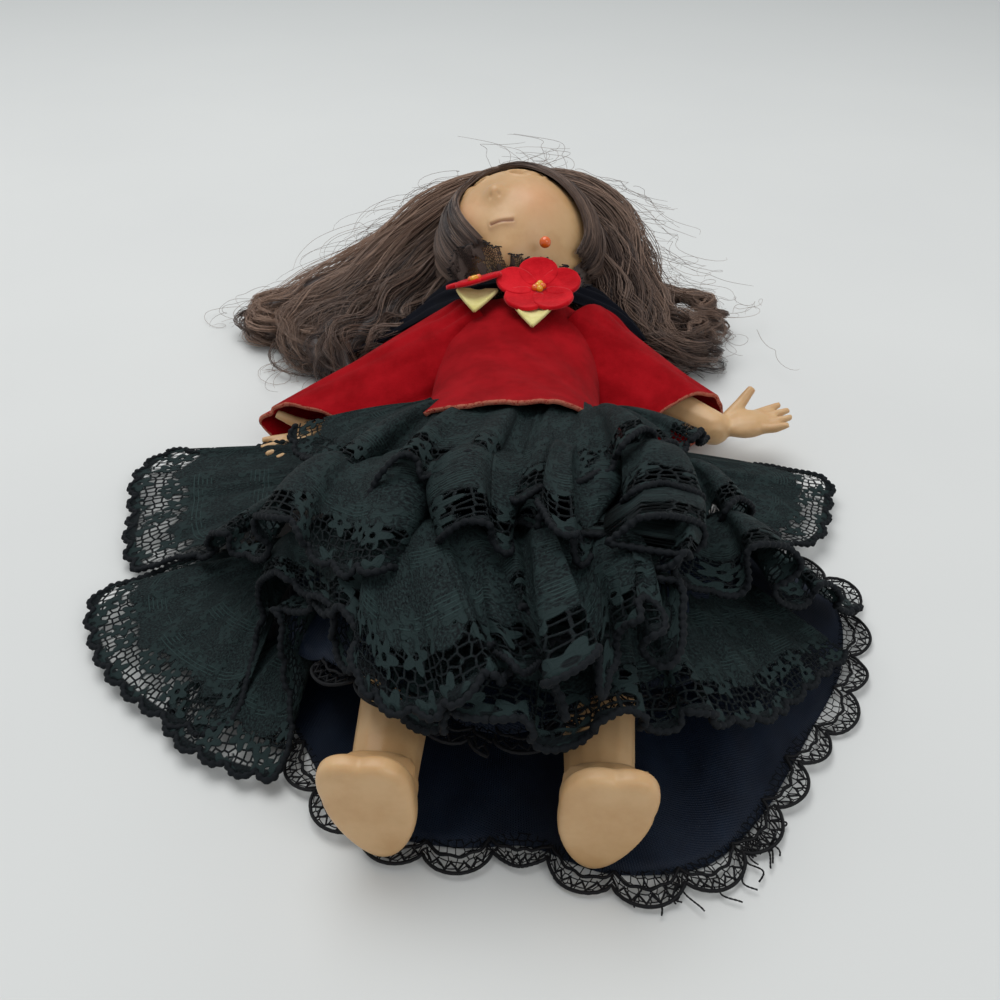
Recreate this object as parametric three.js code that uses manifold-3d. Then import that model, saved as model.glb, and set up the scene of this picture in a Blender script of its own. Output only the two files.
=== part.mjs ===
// Spanish dancer doll, lying on its back. Millimetres. +Z is up, the feet point to -Y, the head to +Y,
// and the doll's own left is +X. The origin is on the floor, under the middle of the waist.
import * as THREE from "three";
import Module from "manifold-3d";
import { mergeVertices } from "three/addons/utils/BufferGeometryUtils.js";

const wasm = await Module();
wasm.setup();

// Driving dimensions: clearances and cloth
const CLEAR = 0.3;
const FELT = 1.2;
const SATIN = 1.0;
const LACE = 0.8;
const WALL = 2.0;

// Driving dimensions: where the joints of the body lie
const BODY_Z = 14.6;
const HIP_Y = -16;
const SHOULDER_Y = 37;
const TORSO_TOP_Y = 46;
const TORSO_BOTTOM_Y = -29;
const SHOULDER_FACE_X = 15;
const HIP_FACE_X = 8.5;

// Driving dimensions: head
const THROAT = 6;
const HEAD_Z = 25.8;
const HEAD_HALF_WIDTH = 22;
const HEAD_HALF_HEIGHT = 23;
const HEAD_Y = TORSO_TOP_Y + THROAT + HEAD_HALF_HEIGHT;
const HEAD_HALF_DEPTH = 23;
const HEAD_TURN_DEG = -17;
const NECK_RADIUS = 6.5;
const NECK_FLANGE_RADIUS = 8.1;
const NECK_FLANGE_THICK = 2.6;

// Driving dimensions: hair. Each station of a lock is its middle, its half width and its half height.
// The third station ends the sweep and starts the curl
const HAIR_CAP = 2.3;
const FACE_HALF_WIDTH = 17.5;
const FACE_HALF_HEIGHT = 21;
const FACE_DROP = -3.5;
const FACE_DEPTH = 2;
const NAPE_Y = 58;
const HAIR_FLOOR = 0.2;
const HAIR_ROUTES = {
  left: [
    [14, 78, 14, 15, 11], [34, 78, 12, 16, 10], [49, 71, 9.5, 11, 8], [53, 62, 8, 7, 7], [44, 53, 7, 6, 6],
  ],
  right: [
    [18, 79, 14, 16, 11], [46, 80, 12, 18, 10], [68, 68, 8.5, 13, 8], [72, 53, 7, 8, 6.5], [57, 46, 6, 6, 5.5],
  ],
};

// Driving dimensions: sleep eyes
const EYE_SPACING = 7.6;
const EYE_RADIUS = 4.4;
const EYE_ABOVE_MIDDLE = 3.5;
const EYE_ROD_RADIUS = 0.9;
const EYE_WEIGHT_DROP = 9;
const EYE_WEIGHT_RADIUS = 3;

// Driving dimensions: arms
const ARM_CAP_RADIUS = 7.6;
const ARM_STUD_RADIUS = 3.4;
const ARM_FLANGE_RADIUS = 5.2;
const ARM_RADII = [5.5, 5.2, 4.9, 4.2];
const FINGER_RADIUS = 1.35;
const ARM_ROUTES = {
  left: [[20, 36.5, 14.2], [28.5, 29.5, 12.4], [37, 22, 10.6], [46.5, 15, 9.4]],
  right: [[20, 36.5, 14.2], [28.5, 28.6, 12.4], [36, 20, 10.4], [44.5, 9.5, 8.8]],
};
const HAND_AIM = { left: [1, 0.12, 0.12], right: [0.83, -0.56, -0.06] };

// Driving dimensions: legs
const LEG_X = 17.3;
const LEG_STUD_RADIUS = 3.6;
const LEG_FLANGE_RADIUS = 5.4;
const HIP_CAP_RADIUS = 9.2;
const THIGH_RADIUS = 8.6;
const CALF_RADIUS = 7.0;
const ANKLE_RADIUS = 5.7;
const ANKLE_Z = 9.4;
const ANKLE_Y = -90;
const SOLE_Y = -100;
const FOOT_LENGTH = 23;
const FOOT_WIDTH = 15.2;
const HEEL_WIDTH = 10;
const FOOT_THICK = 7.5;
const HEEL_Z = 2;
const FOOT_SPLAY_DEG = 8;
const TOE_RADIUS = 1.9;

// Driving dimensions: blouse
const BODICE_BOTTOM_Y = 3;
const BODICE_TOP_Y = 44.5;
const BODICE_HALF_WIDTH = 20.2;
const ARMHOLE_RADIUS = 11.9;
const SLEEVE_RING = 9.7;
const SLEEVE_MOUTH_OUTER = { left: [49, 25], right: [61, 13.5] };
const SLEEVE_MOUTH_INNER = { left: [27, 6], right: [30, 3.5] };
const SLEEVE_MOUTH_HALF_HEIGHT = 7.2;
const SLEEVE_MOUTH_Z = 9.6;
const FLOOR_PRESS = 1.8;

// Driving dimensions: skirt. The sides of a tier are outlined by hand, as they lie on the floor
const WAISTBAND_Y = -0.2;
const WAISTBAND_WIDTH = 5.8;
const HEM_TRIM_WIDTH = 8;
const HEM_TRIM_THICK = 0.6;
const FRONT_HEM_Y = -94.5;
const FRONT_HEM_RISE = 15;
const FRONT_HEM_DIP_X = 3;
const FRONT_TRIM_HALF_WIDTH = 30;
const FRONT_WAIST_HALF_WIDTH = 19;
const FRONT_HEM_HALF_WIDTH = 50;
const BACK_HEM = [
  [-48, -20], [-54, -42], [-46, -62], [-33, -78], [-22, -91], [-7, -95], [8, -94.5], [20, -98], [33, -96],
  [44, -86], [54, -68], [63, -52], [64, -34], [50, -14],
];
const TIER_STEP = 3.4;
const TIER_FOLD_LENGTH = 11;
const FLANK_FOLD = 1.5;
const LAP_HALF_WIDTH = 29;
const SIDE_REACH = 60;
const SIDE_Z = 1.7;
const TIER_FRONTS = [
  { number: 1, top: -3.8, hem: -20, bow: 29, half: 40, lift: 9.5, fold: 2.8, rim: 1.5 },
  { number: 2, top: -21, hem: -48, bow: 15, half: LAP_HALF_WIDTH, lift: 9, fold: 3, rim: 0 },
  { number: 3, top: -42, hem: -70, bow: 15, half: LAP_HALF_WIDTH, lift: 9.5, fold: 3, rim: 0 },
  { number: 4, top: -62, hem: -86, bow: 7, half: LAP_HALF_WIDTH, lift: 6, fold: 1.5, rim: 0 },
];
const TIER_SIDES = [
  {
    number: 2, name: "right", lobe: 8, top: [[29, -10], [62, -9], [88, 7]],
    bottom: [[29, -50], [50, -50], [62, -41], [80, -33]],
  },
  {
    number: 2, name: "left", lobe: 3, top: [[29, -10], [58, -7], [74, 7]],
    bottom: [[29, -46], [52, -40], [70, -12]],
  },
  {
    number: 3, name: "right", lobe: 3, top: [[29, -34], [60, -36], [85, -38]],
    bottom: [[29, -68], [52, -74], [76, -66]],
  },
  {
    number: 3, name: "left", lobe: 6, top: [[29, -34], [52, -30], [72, -18]],
    bottom: [[29, -66], [54, -58], [70, -42]],
  },
  {
    number: 4, name: "right", lobe: 0, top: [[29, -58], [46, -58], [66, -58]],
    bottom: [[29, -84], [46, -84], [58, -78]],
  },
];

// Driving dimensions: what lies at the neck
const SHAWL_INNER = 7.1;
const SHAWL_OUTER = 12.1;
const SHAWL_HEIGHT = 4;
const FRILL_INNER = 12.6;
const FRILL_OUTER = 23.5;
const FRILL_RISE = 5.6;
const NET = 0.6;
const PETAL_COUNT = 5;
const PETAL_THICK = 1.2;
const LEAF_THICK = 0.8;
const FLOWERS = {
  left: {
    middle: [3.4, 38.6, 32.3], radius: 8.6, tilt: 20, roll: 0,
    leaf: [2, 36.6, 28.5], leafTurn: 8,
  },
  right: {
    middle: [-9.4, 41.3, 27.8], radius: 6, tilt: -4, roll: -22,
    leaf: [-8.9, 37.1, 27.0], leafTurn: -22,
  },
};
const LEAF_LENGTH = 12;
const LEAF_WIDTH = 6;
const BEAD_RADIUS = 1.5;
const BEAD_TURN_DEG = 9;

const SIDES = [["left", 1], ["right", -1]];
const deg = (d) => (d * Math.PI) / 180;
const mix = (a, b, t) => a + (b - a) * t;
const v3 = (p) => new THREE.Vector3(...p);
const smooth = (a, b, x) => {
  const t = Math.min(Math.max((x - a) / (b - a), 0), 1);
  return t * t * (3 - 2 * t);
};

// A value that runs straight from one [place, value] station to the next
function through(stations, x) {
  const next = stations.findIndex(([place], k) => k > 0 && (x <= place || k === stations.length - 1));
  const [low, high] = [stations[next - 1], stations[next]];
  return mix(low[1], high[1], (x - low[0]) / (high[0] - low[0]));
}

// Materials
const finish = (color, roughness, metalness = 0) =>
  new THREE.MeshStandardMaterial({ color, roughness, metalness });
const VINYL = finish(0xc8a37a, 0.5);
const BODY_PLASTIC = finish(0xc4a07c, 0.45);
const HAIR = finish(0x48383a, 0.6);
const RED_FELT = finish(0x96191f, 0.95);
const FLOWER_FELT = finish(0xc81e28, 0.95);
const LEAF_FELT = finish(0xe1d78c, 0.95);
const BEAD = finish(0xe08a20, 0.4);
const BLACK_LACE = finish(0x1c2422, 0.9);
const BLACK_SATIN = finish(0x10141e, 0.45);
const STEEL = finish(0x9a9a9a, 0.35, 1);
const LEAD = finish(0x55575a, 0.6, 1);

// Solids: geometry to manifold and back
function solid(geometry) {
  const bare = geometry.clone();
  bare.deleteAttribute("normal");
  bare.deleteAttribute("uv");
  const merged = mergeVertices(bare, 1e-4);
  const index = merged.index.array;
  return new wasm.Manifold(new wasm.Mesh({
    numProp: 3,
    vertProperties: new Float32Array(merged.attributes.position.array),
    triVerts: new Uint32Array(index),
  }));
}

function geometryOf(manifold) {
  const mesh = manifold.getMesh();
  const geometry = new THREE.BufferGeometry();
  geometry.setAttribute("position", new THREE.BufferAttribute(new Float32Array(mesh.vertProperties), 3));
  geometry.setIndex(new THREE.BufferAttribute(new Uint32Array(mesh.triVerts), 1));
  geometry.computeVertexNormals();
  return geometry;
}

const join = (...parts) => parts.reduce((a, b) => a.add(b));
const cut = (first, ...rest) => rest.reduce((a, b) => a.subtract(b), first);

// A closed body through rings of points, with a fan over each end
function loft(rings) {
  const n = rings[0].length;
  const points = [];
  const faces = [];
  rings.forEach((ring) => ring.forEach((p) => points.push(...p)));
  for (let r = 0; r + 1 < rings.length; r++) {
    for (let i = 0; i < n; i++) {
      const a = r * n + i;
      const b = r * n + ((i + 1) % n);
      faces.push(a, b, b + n, a, b + n, a + n);
    }
  }
  const middle = (ring) => [0, 1, 2].map((k) => ring.reduce((s, p) => s + p[k], 0) / n);
  const first = points.length / 3;
  points.push(...middle(rings[0]), ...middle(rings[rings.length - 1]));
  const last = (rings.length - 1) * n;
  for (let i = 0; i < n; i++) {
    faces.push(first, (i + 1) % n, i);
    faces.push(first + 1, last + i, last + ((i + 1) % n));
  }
  return outward(points, faces);
}

// A geometry from points and faces, turned so that its faces point out
function outward(points, faces) {
  let volume = 0;
  const p = (i) => new THREE.Vector3(points[3 * i], points[3 * i + 1], points[3 * i + 2]);
  for (let i = 0; i < faces.length; i += 3) {
    volume += p(faces[i]).dot(p(faces[i + 1]).cross(p(faces[i + 2])));
  }
  if (volume < 0) {
    for (let i = 0; i < faces.length; i += 3) {
      [faces[i + 1], faces[i + 2]] = [faces[i + 2], faces[i + 1]];
    }
  }
  const geometry = new THREE.BufferGeometry();
  geometry.setAttribute("position", new THREE.Float32BufferAttribute(points, 3));
  geometry.setIndex(faces);
  geometry.computeVertexNormals();
  return geometry;
}

// An oval ring across Y
function ovalAcrossY(y, halfX, halfZ, centre = [0, BODY_Z], sides = 24, power = 2) {
  return Array.from({ length: sides }, (_, i) => {
    const a = (i / sides) * 2 * Math.PI;
    const bend = (c) => Math.sign(c) * Math.abs(c) ** (2 / power);
    return [centre[0] + halfX * bend(Math.cos(a)), y, centre[1] + halfZ * bend(Math.sin(a))];
  });
}

// A round tube of changing radius along a smooth route
function limb(route, radii, sides = 10, steps = 6) {
  const curve = new THREE.CatmullRomCurve3(route.map(v3));
  const rings = [];
  let side = new THREE.Vector3(0, 0, 1);
  for (let k = 0; k <= steps; k++) {
    const t = k / steps;
    const centre = curve.getPoint(t);
    const along = curve.getTangent(t);
    side = side.addScaledVector(along, -side.dot(along)).normalize();
    const other = along.clone().cross(side);
    const place = t * (radii.length - 1);
    const low = Math.min(Math.floor(place), radii.length - 2);
    const radius = mix(radii[low], radii[low + 1], place - low);
    rings.push(Array.from({ length: sides }, (_, i) => {
      const a = (i / sides) * 2 * Math.PI;
      return centre.clone()
        .addScaledVector(side, radius * Math.cos(a))
        .addScaledVector(other, radius * Math.sin(a)).toArray();
    }));
  }
  return loft(rings);
}

function ball(centre, radii, across = 8, up = 6) {
  return new THREE.SphereGeometry(1, across, up).scale(...radii).translate(...centre);
}

function rodAlongX(x0, x1, radius, y, z, sides = 16) {
  return new THREE.CylinderGeometry(radius, radius, x1 - x0, sides)
    .rotateZ(Math.PI / 2).translate((x0 + x1) / 2, y, z);
}

function rodAlongY(y0, y1, radius, x, z, sides = 20) {
  return new THREE.CylinderGeometry(radius, radius, y1 - y0, sides).translate(x, (y0 + y1) / 2, z);
}

function block(low, high) {
  return new THREE.BoxGeometry(...low.map((a, k) => high[k] - a))
    .translate(...low.map((a, k) => (a + high[k]) / 2));
}

// Cloth: a closed panel between an outer and an inner grid of points
function panel(outer, inner, across, down) {
  const points = [];
  const faces = [];
  const columns = down + 1;
  for (const surface of [outer, inner]) {
    for (let i = 0; i <= across; i++) {
      for (let j = 0; j <= down; j++) {
        points.push(...surface(i / across, j / down));
      }
    }
  }
  const under = (across + 1) * columns;
  const at = (i, j) => i * columns + j;
  const quad = (a, b, c, d) => faces.push(a, b, c, a, c, d);
  for (let i = 0; i < across; i++) {
    for (let j = 0; j < down; j++) {
      quad(at(i, j), at(i, j + 1), at(i + 1, j + 1), at(i + 1, j));
      quad(under + at(i, j), under + at(i + 1, j), under + at(i + 1, j + 1), under + at(i, j + 1));
    }
  }
  for (let i = 0; i < across; i++) {
    quad(at(i, 0), at(i + 1, 0), under + at(i + 1, 0), under + at(i, 0));
    quad(at(i + 1, down), at(i, down), under + at(i, down), under + at(i + 1, down));
  }
  for (let j = 0; j < down; j++) {
    quad(at(0, j + 1), at(0, j), under + at(0, j), under + at(0, j + 1));
    quad(at(across, j), at(across, j + 1), under + at(across, j + 1), under + at(across, j));
  }
  return outward(points, faces);
}

// Cloth that lies: a panel with its thickness straight down
const lying = (surface, across, down, thickness) => panel(surface, (u, v) => {
  const [x, y, z] = surface(u, v);
  return [x, y, z - thickness];
}, across, down);

const doll = new THREE.Group();

function piece(name, geometry, material, parent = doll) {
  const mesh = new THREE.Mesh(geometry, material);
  mesh.name = name;
  parent.add(mesh);
  return mesh;
}

// Torso: two half shells, joined in the plane of the limbs, round the flanges of neck, arms and legs
const TORSO_STATIONS = [
  [TORSO_BOTTOM_Y, 9, 6.5], [-24, 15.5, 10.5], [HIP_Y, 18.5, 12.4], [-4, 18.2, 13], [10, 17, 12.8],
  [24, 17.6, 12.4], [SHOULDER_Y, 17, 12], [43, 15.8, 11.4], [TORSO_TOP_Y, 11.5, 9.8],
];
const torsoAt = (grow) => loft(TORSO_STATIONS.map(([y, w, d], k) => {
  const ends = k === 0 ? -grow : k === TORSO_STATIONS.length - 1 ? grow : 0;
  return ovalAcrossY(y + ends, w + grow, d + grow, [0, BODY_Z], 18, 2.2);
}));

// The room that each leg needs: round the hip's axis, and below the seat
function hipRoom(side, grow) {
  const near = HIP_FACE_X - grow;
  const far = HIP_FACE_X + 30;
  const radius = HIP_CAP_RADIUS + CLEAR + grow;
  const [x0, x1] = side > 0 ? [near, far] : [-far, -near];
  const turn = solid(rodAlongX(x0, x1, radius, HIP_Y, BODY_Z, 24));
  const below = solid(block([x0, TORSO_BOTTOM_Y - 20, BODY_Z - 30], [x1, HIP_Y, BODY_Z + 30]));
  const above = solid(block([x0, HIP_Y - 1, BODY_Z], [x1, HIP_Y + radius, BODY_Z + 30]));
  return join(turn, below, above);
}

function shoulderRoom(side, grow) {
  const near = SHOULDER_FACE_X - grow;
  const far = SHOULDER_FACE_X + 20;
  const [x0, x1] = side > 0 ? [near, far] : [-far, -near];
  return solid(rodAlongX(x0, x1, SLEEVE_RING + 5 * CLEAR + grow, SHOULDER_Y, BODY_Z, 24));
}

function torso() {
  const rooms = (grow) => SIDES.flatMap(([, s]) => [hipRoom(s, grow), shoulderRoom(s, grow)]);
  const skin = cut(solid(torsoAt(0)), ...rooms(0));
  const hollow = cut(solid(torsoAt(-WALL)), ...rooms(WALL));
  const neckHole = solid(rodAlongY(TORSO_TOP_Y - 8, TORSO_TOP_Y + 8, NECK_RADIUS + CLEAR, 0, BODY_Z));
  const armHoles = solid(rodAlongX(-30, 30, ARM_STUD_RADIUS + CLEAR, SHOULDER_Y, BODY_Z));
  const legHoles = solid(rodAlongX(-30, 30, LEG_STUD_RADIUS + CLEAR, HIP_Y, BODY_Z));
  const shell = cut(skin, hollow, neckHole, armHoles, legHoles);
  const half = (z0, z1) => solid(block([-60, -60, z0], [60, 80, z1]));
  return [shell.intersect(half(BODY_Z, 60)), shell.intersect(half(-60, BODY_Z))];
}
const [torsoFront, torsoBack] = torso();
piece("torso_front", geometryOf(torsoFront), BODY_PLASTIC);
piece("torso_back", geometryOf(torsoBack), BODY_PLASTIC);

// Legs: thigh to ankle in one taper, a foot with toes, and the stud and flange that hold it in the hip
const LEG_STATIONS = [
  [SOLE_Y + 3, ANKLE_RADIUS], [ANKLE_Y, ANKLE_RADIUS], [-78, 6.2], [-62, CALF_RADIUS], [-46, 7.4],
  [-30, THIGH_RADIUS],
  [HIP_Y, THIGH_RADIUS],
];
const legMiddleZ = (y) => mix(ANKLE_Z, BODY_Z, smooth(ANKLE_Y - 20, HIP_Y, y));
const legTopZ = (y) => legMiddleZ(y) + through(LEG_STATIONS, y);

function foot(side) {
  const outline = (y, grow) => Array.from({ length: 16 }, (_, i) => {
    const a = (i / 16) * 2 * Math.PI;
    const along = Math.sin(a);
    const half = mix(HEEL_WIDTH, FOOT_WIDTH, smooth(-1, 0.75, along)) / 2 + grow;
    const length = FOOT_LENGTH / 2 + grow;
    return [half * Math.cos(a), y, length * along];
  });
  const dorsum = SOLE_Y + FOOT_THICK;
  const sole = solid(loft([
    outline(SOLE_Y, -0.7), outline(SOLE_Y + 0.6, 0), outline(SOLE_Y + 4, 0.1),
    outline(dorsum - 1.2, -0.9), outline(dorsum, -2.6),
  ]));
  const toes = [0, 1, 2, 3, 4].map((k) => {
    const x = side * mix(-5.4, 5.2, k / 4);
    const radius = TOE_RADIUS * (k === 0 ? 1.25 : mix(1, 0.8, k / 4));
    const z = FOOT_LENGTH / 2 - 0.4 - 0.085 * x * x;
    return solid(ball([x, SOLE_Y + 3.4, z], [radius, 3.1, radius], 6, 5));
  });
  const whole = join(sole, ...toes);
  const geometry = geometryOf(whole);
  geometry.rotateY(deg(side * FOOT_SPLAY_DEG));
  geometry.translate(side * LEG_X, 0, HEEL_Z + FOOT_LENGTH / 2);
  return solid(geometry);
}

function leg(side) {
  const rings = LEG_STATIONS.map(([y, r]) =>
    ovalAcrossY(y, r, r, [side * LEG_X, legMiddleZ(y)], 12));
  const inner = side * (HIP_FACE_X + CLEAR);
  const cap = ball([side * LEG_X, HIP_Y, BODY_Z], [THIGH_RADIUS + 0.2, HIP_CAP_RADIUS, HIP_CAP_RADIUS], 14, 10);
  const hub = rodAlongX(...[inner, side * LEG_X].sort((a, b) => a - b), THIGH_RADIUS - 0.8, HIP_Y, BODY_Z);
  const flangeOuter = side * (HIP_FACE_X - WALL - CLEAR);
  const flangeInner = side * (HIP_FACE_X - WALL - CLEAR - 2.4);
  const stud = rodAlongX(...[flangeInner, side * LEG_X].sort((a, b) => a - b), LEG_STUD_RADIUS, HIP_Y, BODY_Z);
  const flange = rodAlongX(
    ...[flangeInner, flangeOuter].sort((a, b) => a - b), LEG_FLANGE_RADIUS, HIP_Y, BODY_Z);
  const limits = side > 0
    ? block([inner, -130, -20], [60, 20, 60])
    : block([-60, -130, -20], [inner, 20, 60]);
  const outside = join(solid(loft(rings)), solid(cap), solid(hub), foot(side)).intersect(solid(limits));
  return join(outside, solid(stud), solid(flange));
}

// Arms: shoulder cap, taper to the wrist, an open hand, and the stud and flange in the shoulder
function hand(side, name) {
  const aim = v3(HAND_AIM[name]).normalize();
  const wrist = v3(ARM_ROUTES[name][ARM_ROUTES[name].length - 1]);
  const up = new THREE.Vector3(0, 0, 1);
  const across = up.clone().cross(aim).normalize();
  up.copy(aim).cross(across).normalize();
  const turn = new THREE.Matrix4().makeBasis(aim, across, up);
  turn.setPosition(wrist);
  const parts = [];
  const palm = ball([8, 0, 0], [6.6, 4.9, 2.7], 10, 6);
  parts.push(palm);
  [-3.4, -1.2, 1.1, 3.3].forEach((spread, k) => {
    const reach = [17, 18.6, 18.8, 17.4][k];
    parts.push(limb(
      [[9, spread * 0.8, 0], [14, spread * 1.15, 0.5], [reach, spread * 1.35, 1.4]],
      [FINGER_RADIUS * 1.1, FINGER_RADIUS, FINGER_RADIUS * 0.6], 6, 2));
  });
  parts.push(limb([[4, 2.5, 0.5], [8, 6, 2], [11.5, 8.6, 4.4]], [1.9, 1.6, 1.2], 6, 2));
  const mirror = new THREE.Matrix4().makeScale(side, 1, 1);
  return join(...parts.map((g) => {
    const placed = g.clone().applyMatrix4(turn);
    if (side < 0) {
      placed.applyMatrix4(mirror);
      const index = placed.index.array;
      for (let i = 0; i < index.length; i += 3) [index[i + 1], index[i + 2]] = [index[i + 2], index[i + 1]];
    }
    return solid(placed);
  }));
}

function arm(side, name) {
  const inner = side * (SHOULDER_FACE_X + CLEAR);
  const route = ARM_ROUTES[name].map(([x, y, z]) => [side * x, y, z]);
  const cap = ball([side * (SHOULDER_FACE_X + 2.5), SHOULDER_Y, BODY_Z], Array(3).fill(ARM_CAP_RADIUS), 14, 10);
  const limits = side > 0
    ? block([inner, -60, -20], [90, 80, 60])
    : block([-90, -60, -20], [inner, 80, 60]);
  const wristBall = ball(route[route.length - 1], Array(3).fill(ARM_RADII[3] * 1.02), 10, 6);
  const outside = join(solid(cap), solid(limb(route, ARM_RADII)), solid(wristBall), hand(side, name))
    .intersect(solid(limits));
  const flangeOuter = side * (SHOULDER_FACE_X - WALL - CLEAR);
  const flangeInner = side * (SHOULDER_FACE_X - WALL - CLEAR - 2.2);
  const stud = rodAlongX(
    ...[flangeInner, side * (SHOULDER_FACE_X + 3)].sort((a, b) => a - b), ARM_STUD_RADIUS, SHOULDER_Y, BODY_Z);
  const flange = rodAlongX(
    ...[flangeInner, flangeOuter].sort((a, b) => a - b), ARM_FLANGE_RADIUS, SHOULDER_Y, BODY_Z);
  return join(outside, solid(stud), solid(flange));
}

for (const [name, side] of SIDES) {
  piece(`leg_${name}`, geometryOf(leg(side)), VINYL);
  piece(`arm_${name}`, geometryOf(arm(side, name)), VINYL);
}

// Head: a hollow face with eye sockets, on a neck whose flange turns inside the torso
const head = new THREE.Group();
head.position.set(0, HEAD_Y, BODY_Z);
head.rotation.y = deg(HEAD_TURN_DEG);
doll.add(head);
const headMiddle = [0, 0, HEAD_Z - BODY_Z];

function bump(direction, towards, width) {
  const away = direction.angleTo(v3(towards).normalize());
  return Math.exp(-((away / width) ** 2));
}

function skull(grow, features, across = 22, up = 15) {
  const geometry = new THREE.SphereGeometry(1, across, up);
  const place = geometry.attributes.position;
  for (let i = 0; i < place.count; i++) {
    const d = new THREE.Vector3().fromBufferAttribute(place, i).normalize();
    const jaw = 1 - 0.13 * smooth(0, 1, -d.y) * smooth(-0.4, 0.6, d.z);
    const proud = features * (
      2.3 * bump(d, [0, -0.2, 1], 0.13)
      + 1.1 * (bump(d, [0.48, -0.42, 0.8], 0.32) + bump(d, [-0.48, -0.42, 0.8], 0.32))
      + 1.6 * bump(d, [0, -0.78, 0.66], 0.26)
      + 0.7 * bump(d, [0, -0.47, 0.88], 0.14)
      + 0.9 * bump(d, [0, 0.45, 0.9], 0.5)
    );
    place.setXYZ(i,
      d.x * (HEAD_HALF_WIDTH * jaw + grow + proud),
      d.y * (HEAD_HALF_HEIGHT + grow + proud),
      d.z * (HEAD_HALF_DEPTH + grow + proud));
  }
  return geometry.translate(...headMiddle);
}

const eyeDepth = HEAD_HALF_DEPTH
  * Math.sqrt(1 - (EYE_SPACING / HEAD_HALF_WIDTH) ** 2 - (EYE_ABOVE_MIDDLE / HEAD_HALF_HEIGHT) ** 2);
const eyeZ = headMiddle[2] + eyeDepth - EYE_RADIUS + 0.6;
const flangeTop = TORSO_TOP_Y - WALL - CLEAR - HEAD_Y;
const flangeBottom = flangeTop - NECK_FLANGE_THICK;

function headShell() {
  const neck = rodAlongY(flangeBottom, -HEAD_HALF_HEIGHT + 4, NECK_RADIUS, 0, 0);
  const flange = rodAlongY(flangeBottom, flangeTop, NECK_FLANGE_RADIUS, 0, 0);
  const bore = rodAlongY(flangeBottom - 1, -HEAD_HALF_HEIGHT + 10, NECK_RADIUS - WALL, 0, 0, 16);
  const room = solid(skull(-WALL, 0, 16, 10));
  const sockets = SIDES.map(([, s]) => solid(ball(
    [s * EYE_SPACING, EYE_ABOVE_MIDDLE, eyeZ], Array(3).fill(EYE_RADIUS + CLEAR), 14, 10)));
  return cut(join(solid(skull(0, 1)), solid(neck), solid(flange)), room, solid(bore), ...sockets);
}
piece("head_shell", geometryOf(headShell()), VINYL, head);

// Sleep eyes: two lidded balls, the rod between them, and the weight that shuts them
for (const [name, side] of SIDES) {
  const centre = [side * EYE_SPACING, EYE_ABOVE_MIDDLE, eyeZ];
  piece(`eye_${name}`, ball(centre, Array(3).fill(EYE_RADIUS), 14, 9), VINYL, head);
}
const rodHalf = EYE_SPACING - EYE_RADIUS - CLEAR;
piece("eye_rod", rodAlongX(-rodHalf, rodHalf, EYE_ROD_RADIUS, EYE_ABOVE_MIDDLE, eyeZ, 12), STEEL, head);
const stemTop = eyeZ - EYE_ROD_RADIUS - CLEAR;
const weightZ = eyeZ - EYE_WEIGHT_DROP;
const stem = new THREE.CylinderGeometry(0.8, 0.8, stemTop - weightZ, 10)
  .rotateX(Math.PI / 2).translate(0, EYE_ABOVE_MIDDLE, (stemTop + weightZ) / 2);
const bob = ball([0, EYE_ABOVE_MIDDLE, weightZ], Array(3).fill(EYE_WEIGHT_RADIUS), 12, 8);
piece("eye_weight", geometryOf(join(solid(stem), solid(bob))), LEAD, head);

// Hair on the skull: a cap that leaves the face, the throat and the nape free
function hairCap() {
  const outer = solid(skull(HAIR_CAP, 0, 18, 12));
  const inner = solid(skull(CLEAR, 1));
  const face = new THREE.CylinderGeometry(1, 1, 40, 28).rotateX(Math.PI / 2)
    .scale(FACE_HALF_WIDTH, FACE_HALF_HEIGHT, 1).translate(0, FACE_DROP, headMiddle[2] + FACE_DEPTH + 20);
  const throat = block([-40, -60, -40], [40, NAPE_Y - HEAD_Y, 60]);
  return cut(outer, inner, solid(face), solid(throat));
}
piece("hair_cap", geometryOf(hairCap()), HAIR, head);

// Hair that lies spread on the floor: a sweep and a curl to each side, seated against the cap
const capRoom = geometryOf(solid(skull(HAIR_CAP + CLEAR, 0, 18, 12)));
head.updateMatrix();
capRoom.applyMatrix4(head.matrix);
for (const [name, side] of SIDES) {
  const route = HAIR_ROUTES[name].map(([x, y, z, w, h]) => [side * x, y, z, w, h]);
  const [sweep, curl] = hairRings(route);
  piece(`hair_${name}_sweep`, geometryOf(cut(solid(loft(sweep)), solid(capRoom))), HAIR);
  piece(`hair_${name}_curl`, loft(curl), HAIR);
}

function hairRings(stations) {
  const curve = new THREE.CatmullRomCurve3(stations.map(([x, y, z]) => new THREE.Vector3(x, y, z)));
  const last = stations.length - 1;
  const ring = (t, shift) => {
    const along = curve.getTangent(t);
    const centre = curve.getPoint(t).addScaledVector(along, shift);
    const low = Math.min(Math.floor(t * last), last - 1);
    const part = t * last - low;
    const half = mix(stations[low][3], stations[low + 1][3], part);
    const high = mix(stations[low][4], stations[low + 1][4], part);
    const across = new THREE.Vector3(-along.y, along.x, 0).normalize();
    return Array.from({ length: 12 }, (_, i) => {
      const a = (i / 12) * 2 * Math.PI;
      const p = centre.clone().addScaledVector(across, half * Math.cos(a));
      return [p.x, p.y, Math.max(p.z + high * Math.sin(a), HAIR_FLOOR)];
    });
  };
  const rings = (from, to, shift) =>
    [0, 1, 2, 3, 4].map((k) => ring(mix(from, to, k / 4), k === 0 ? shift : 0));
  return [rings(0, 0.5, 0), rings(0.5, 1, CLEAR)];
}

// Blouse: bodice front and back round the torso
const torsoStation = (y) => [1, 2].map((k) => through(TORSO_STATIONS.map((s) => [s[0], s[k]]), y));

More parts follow.
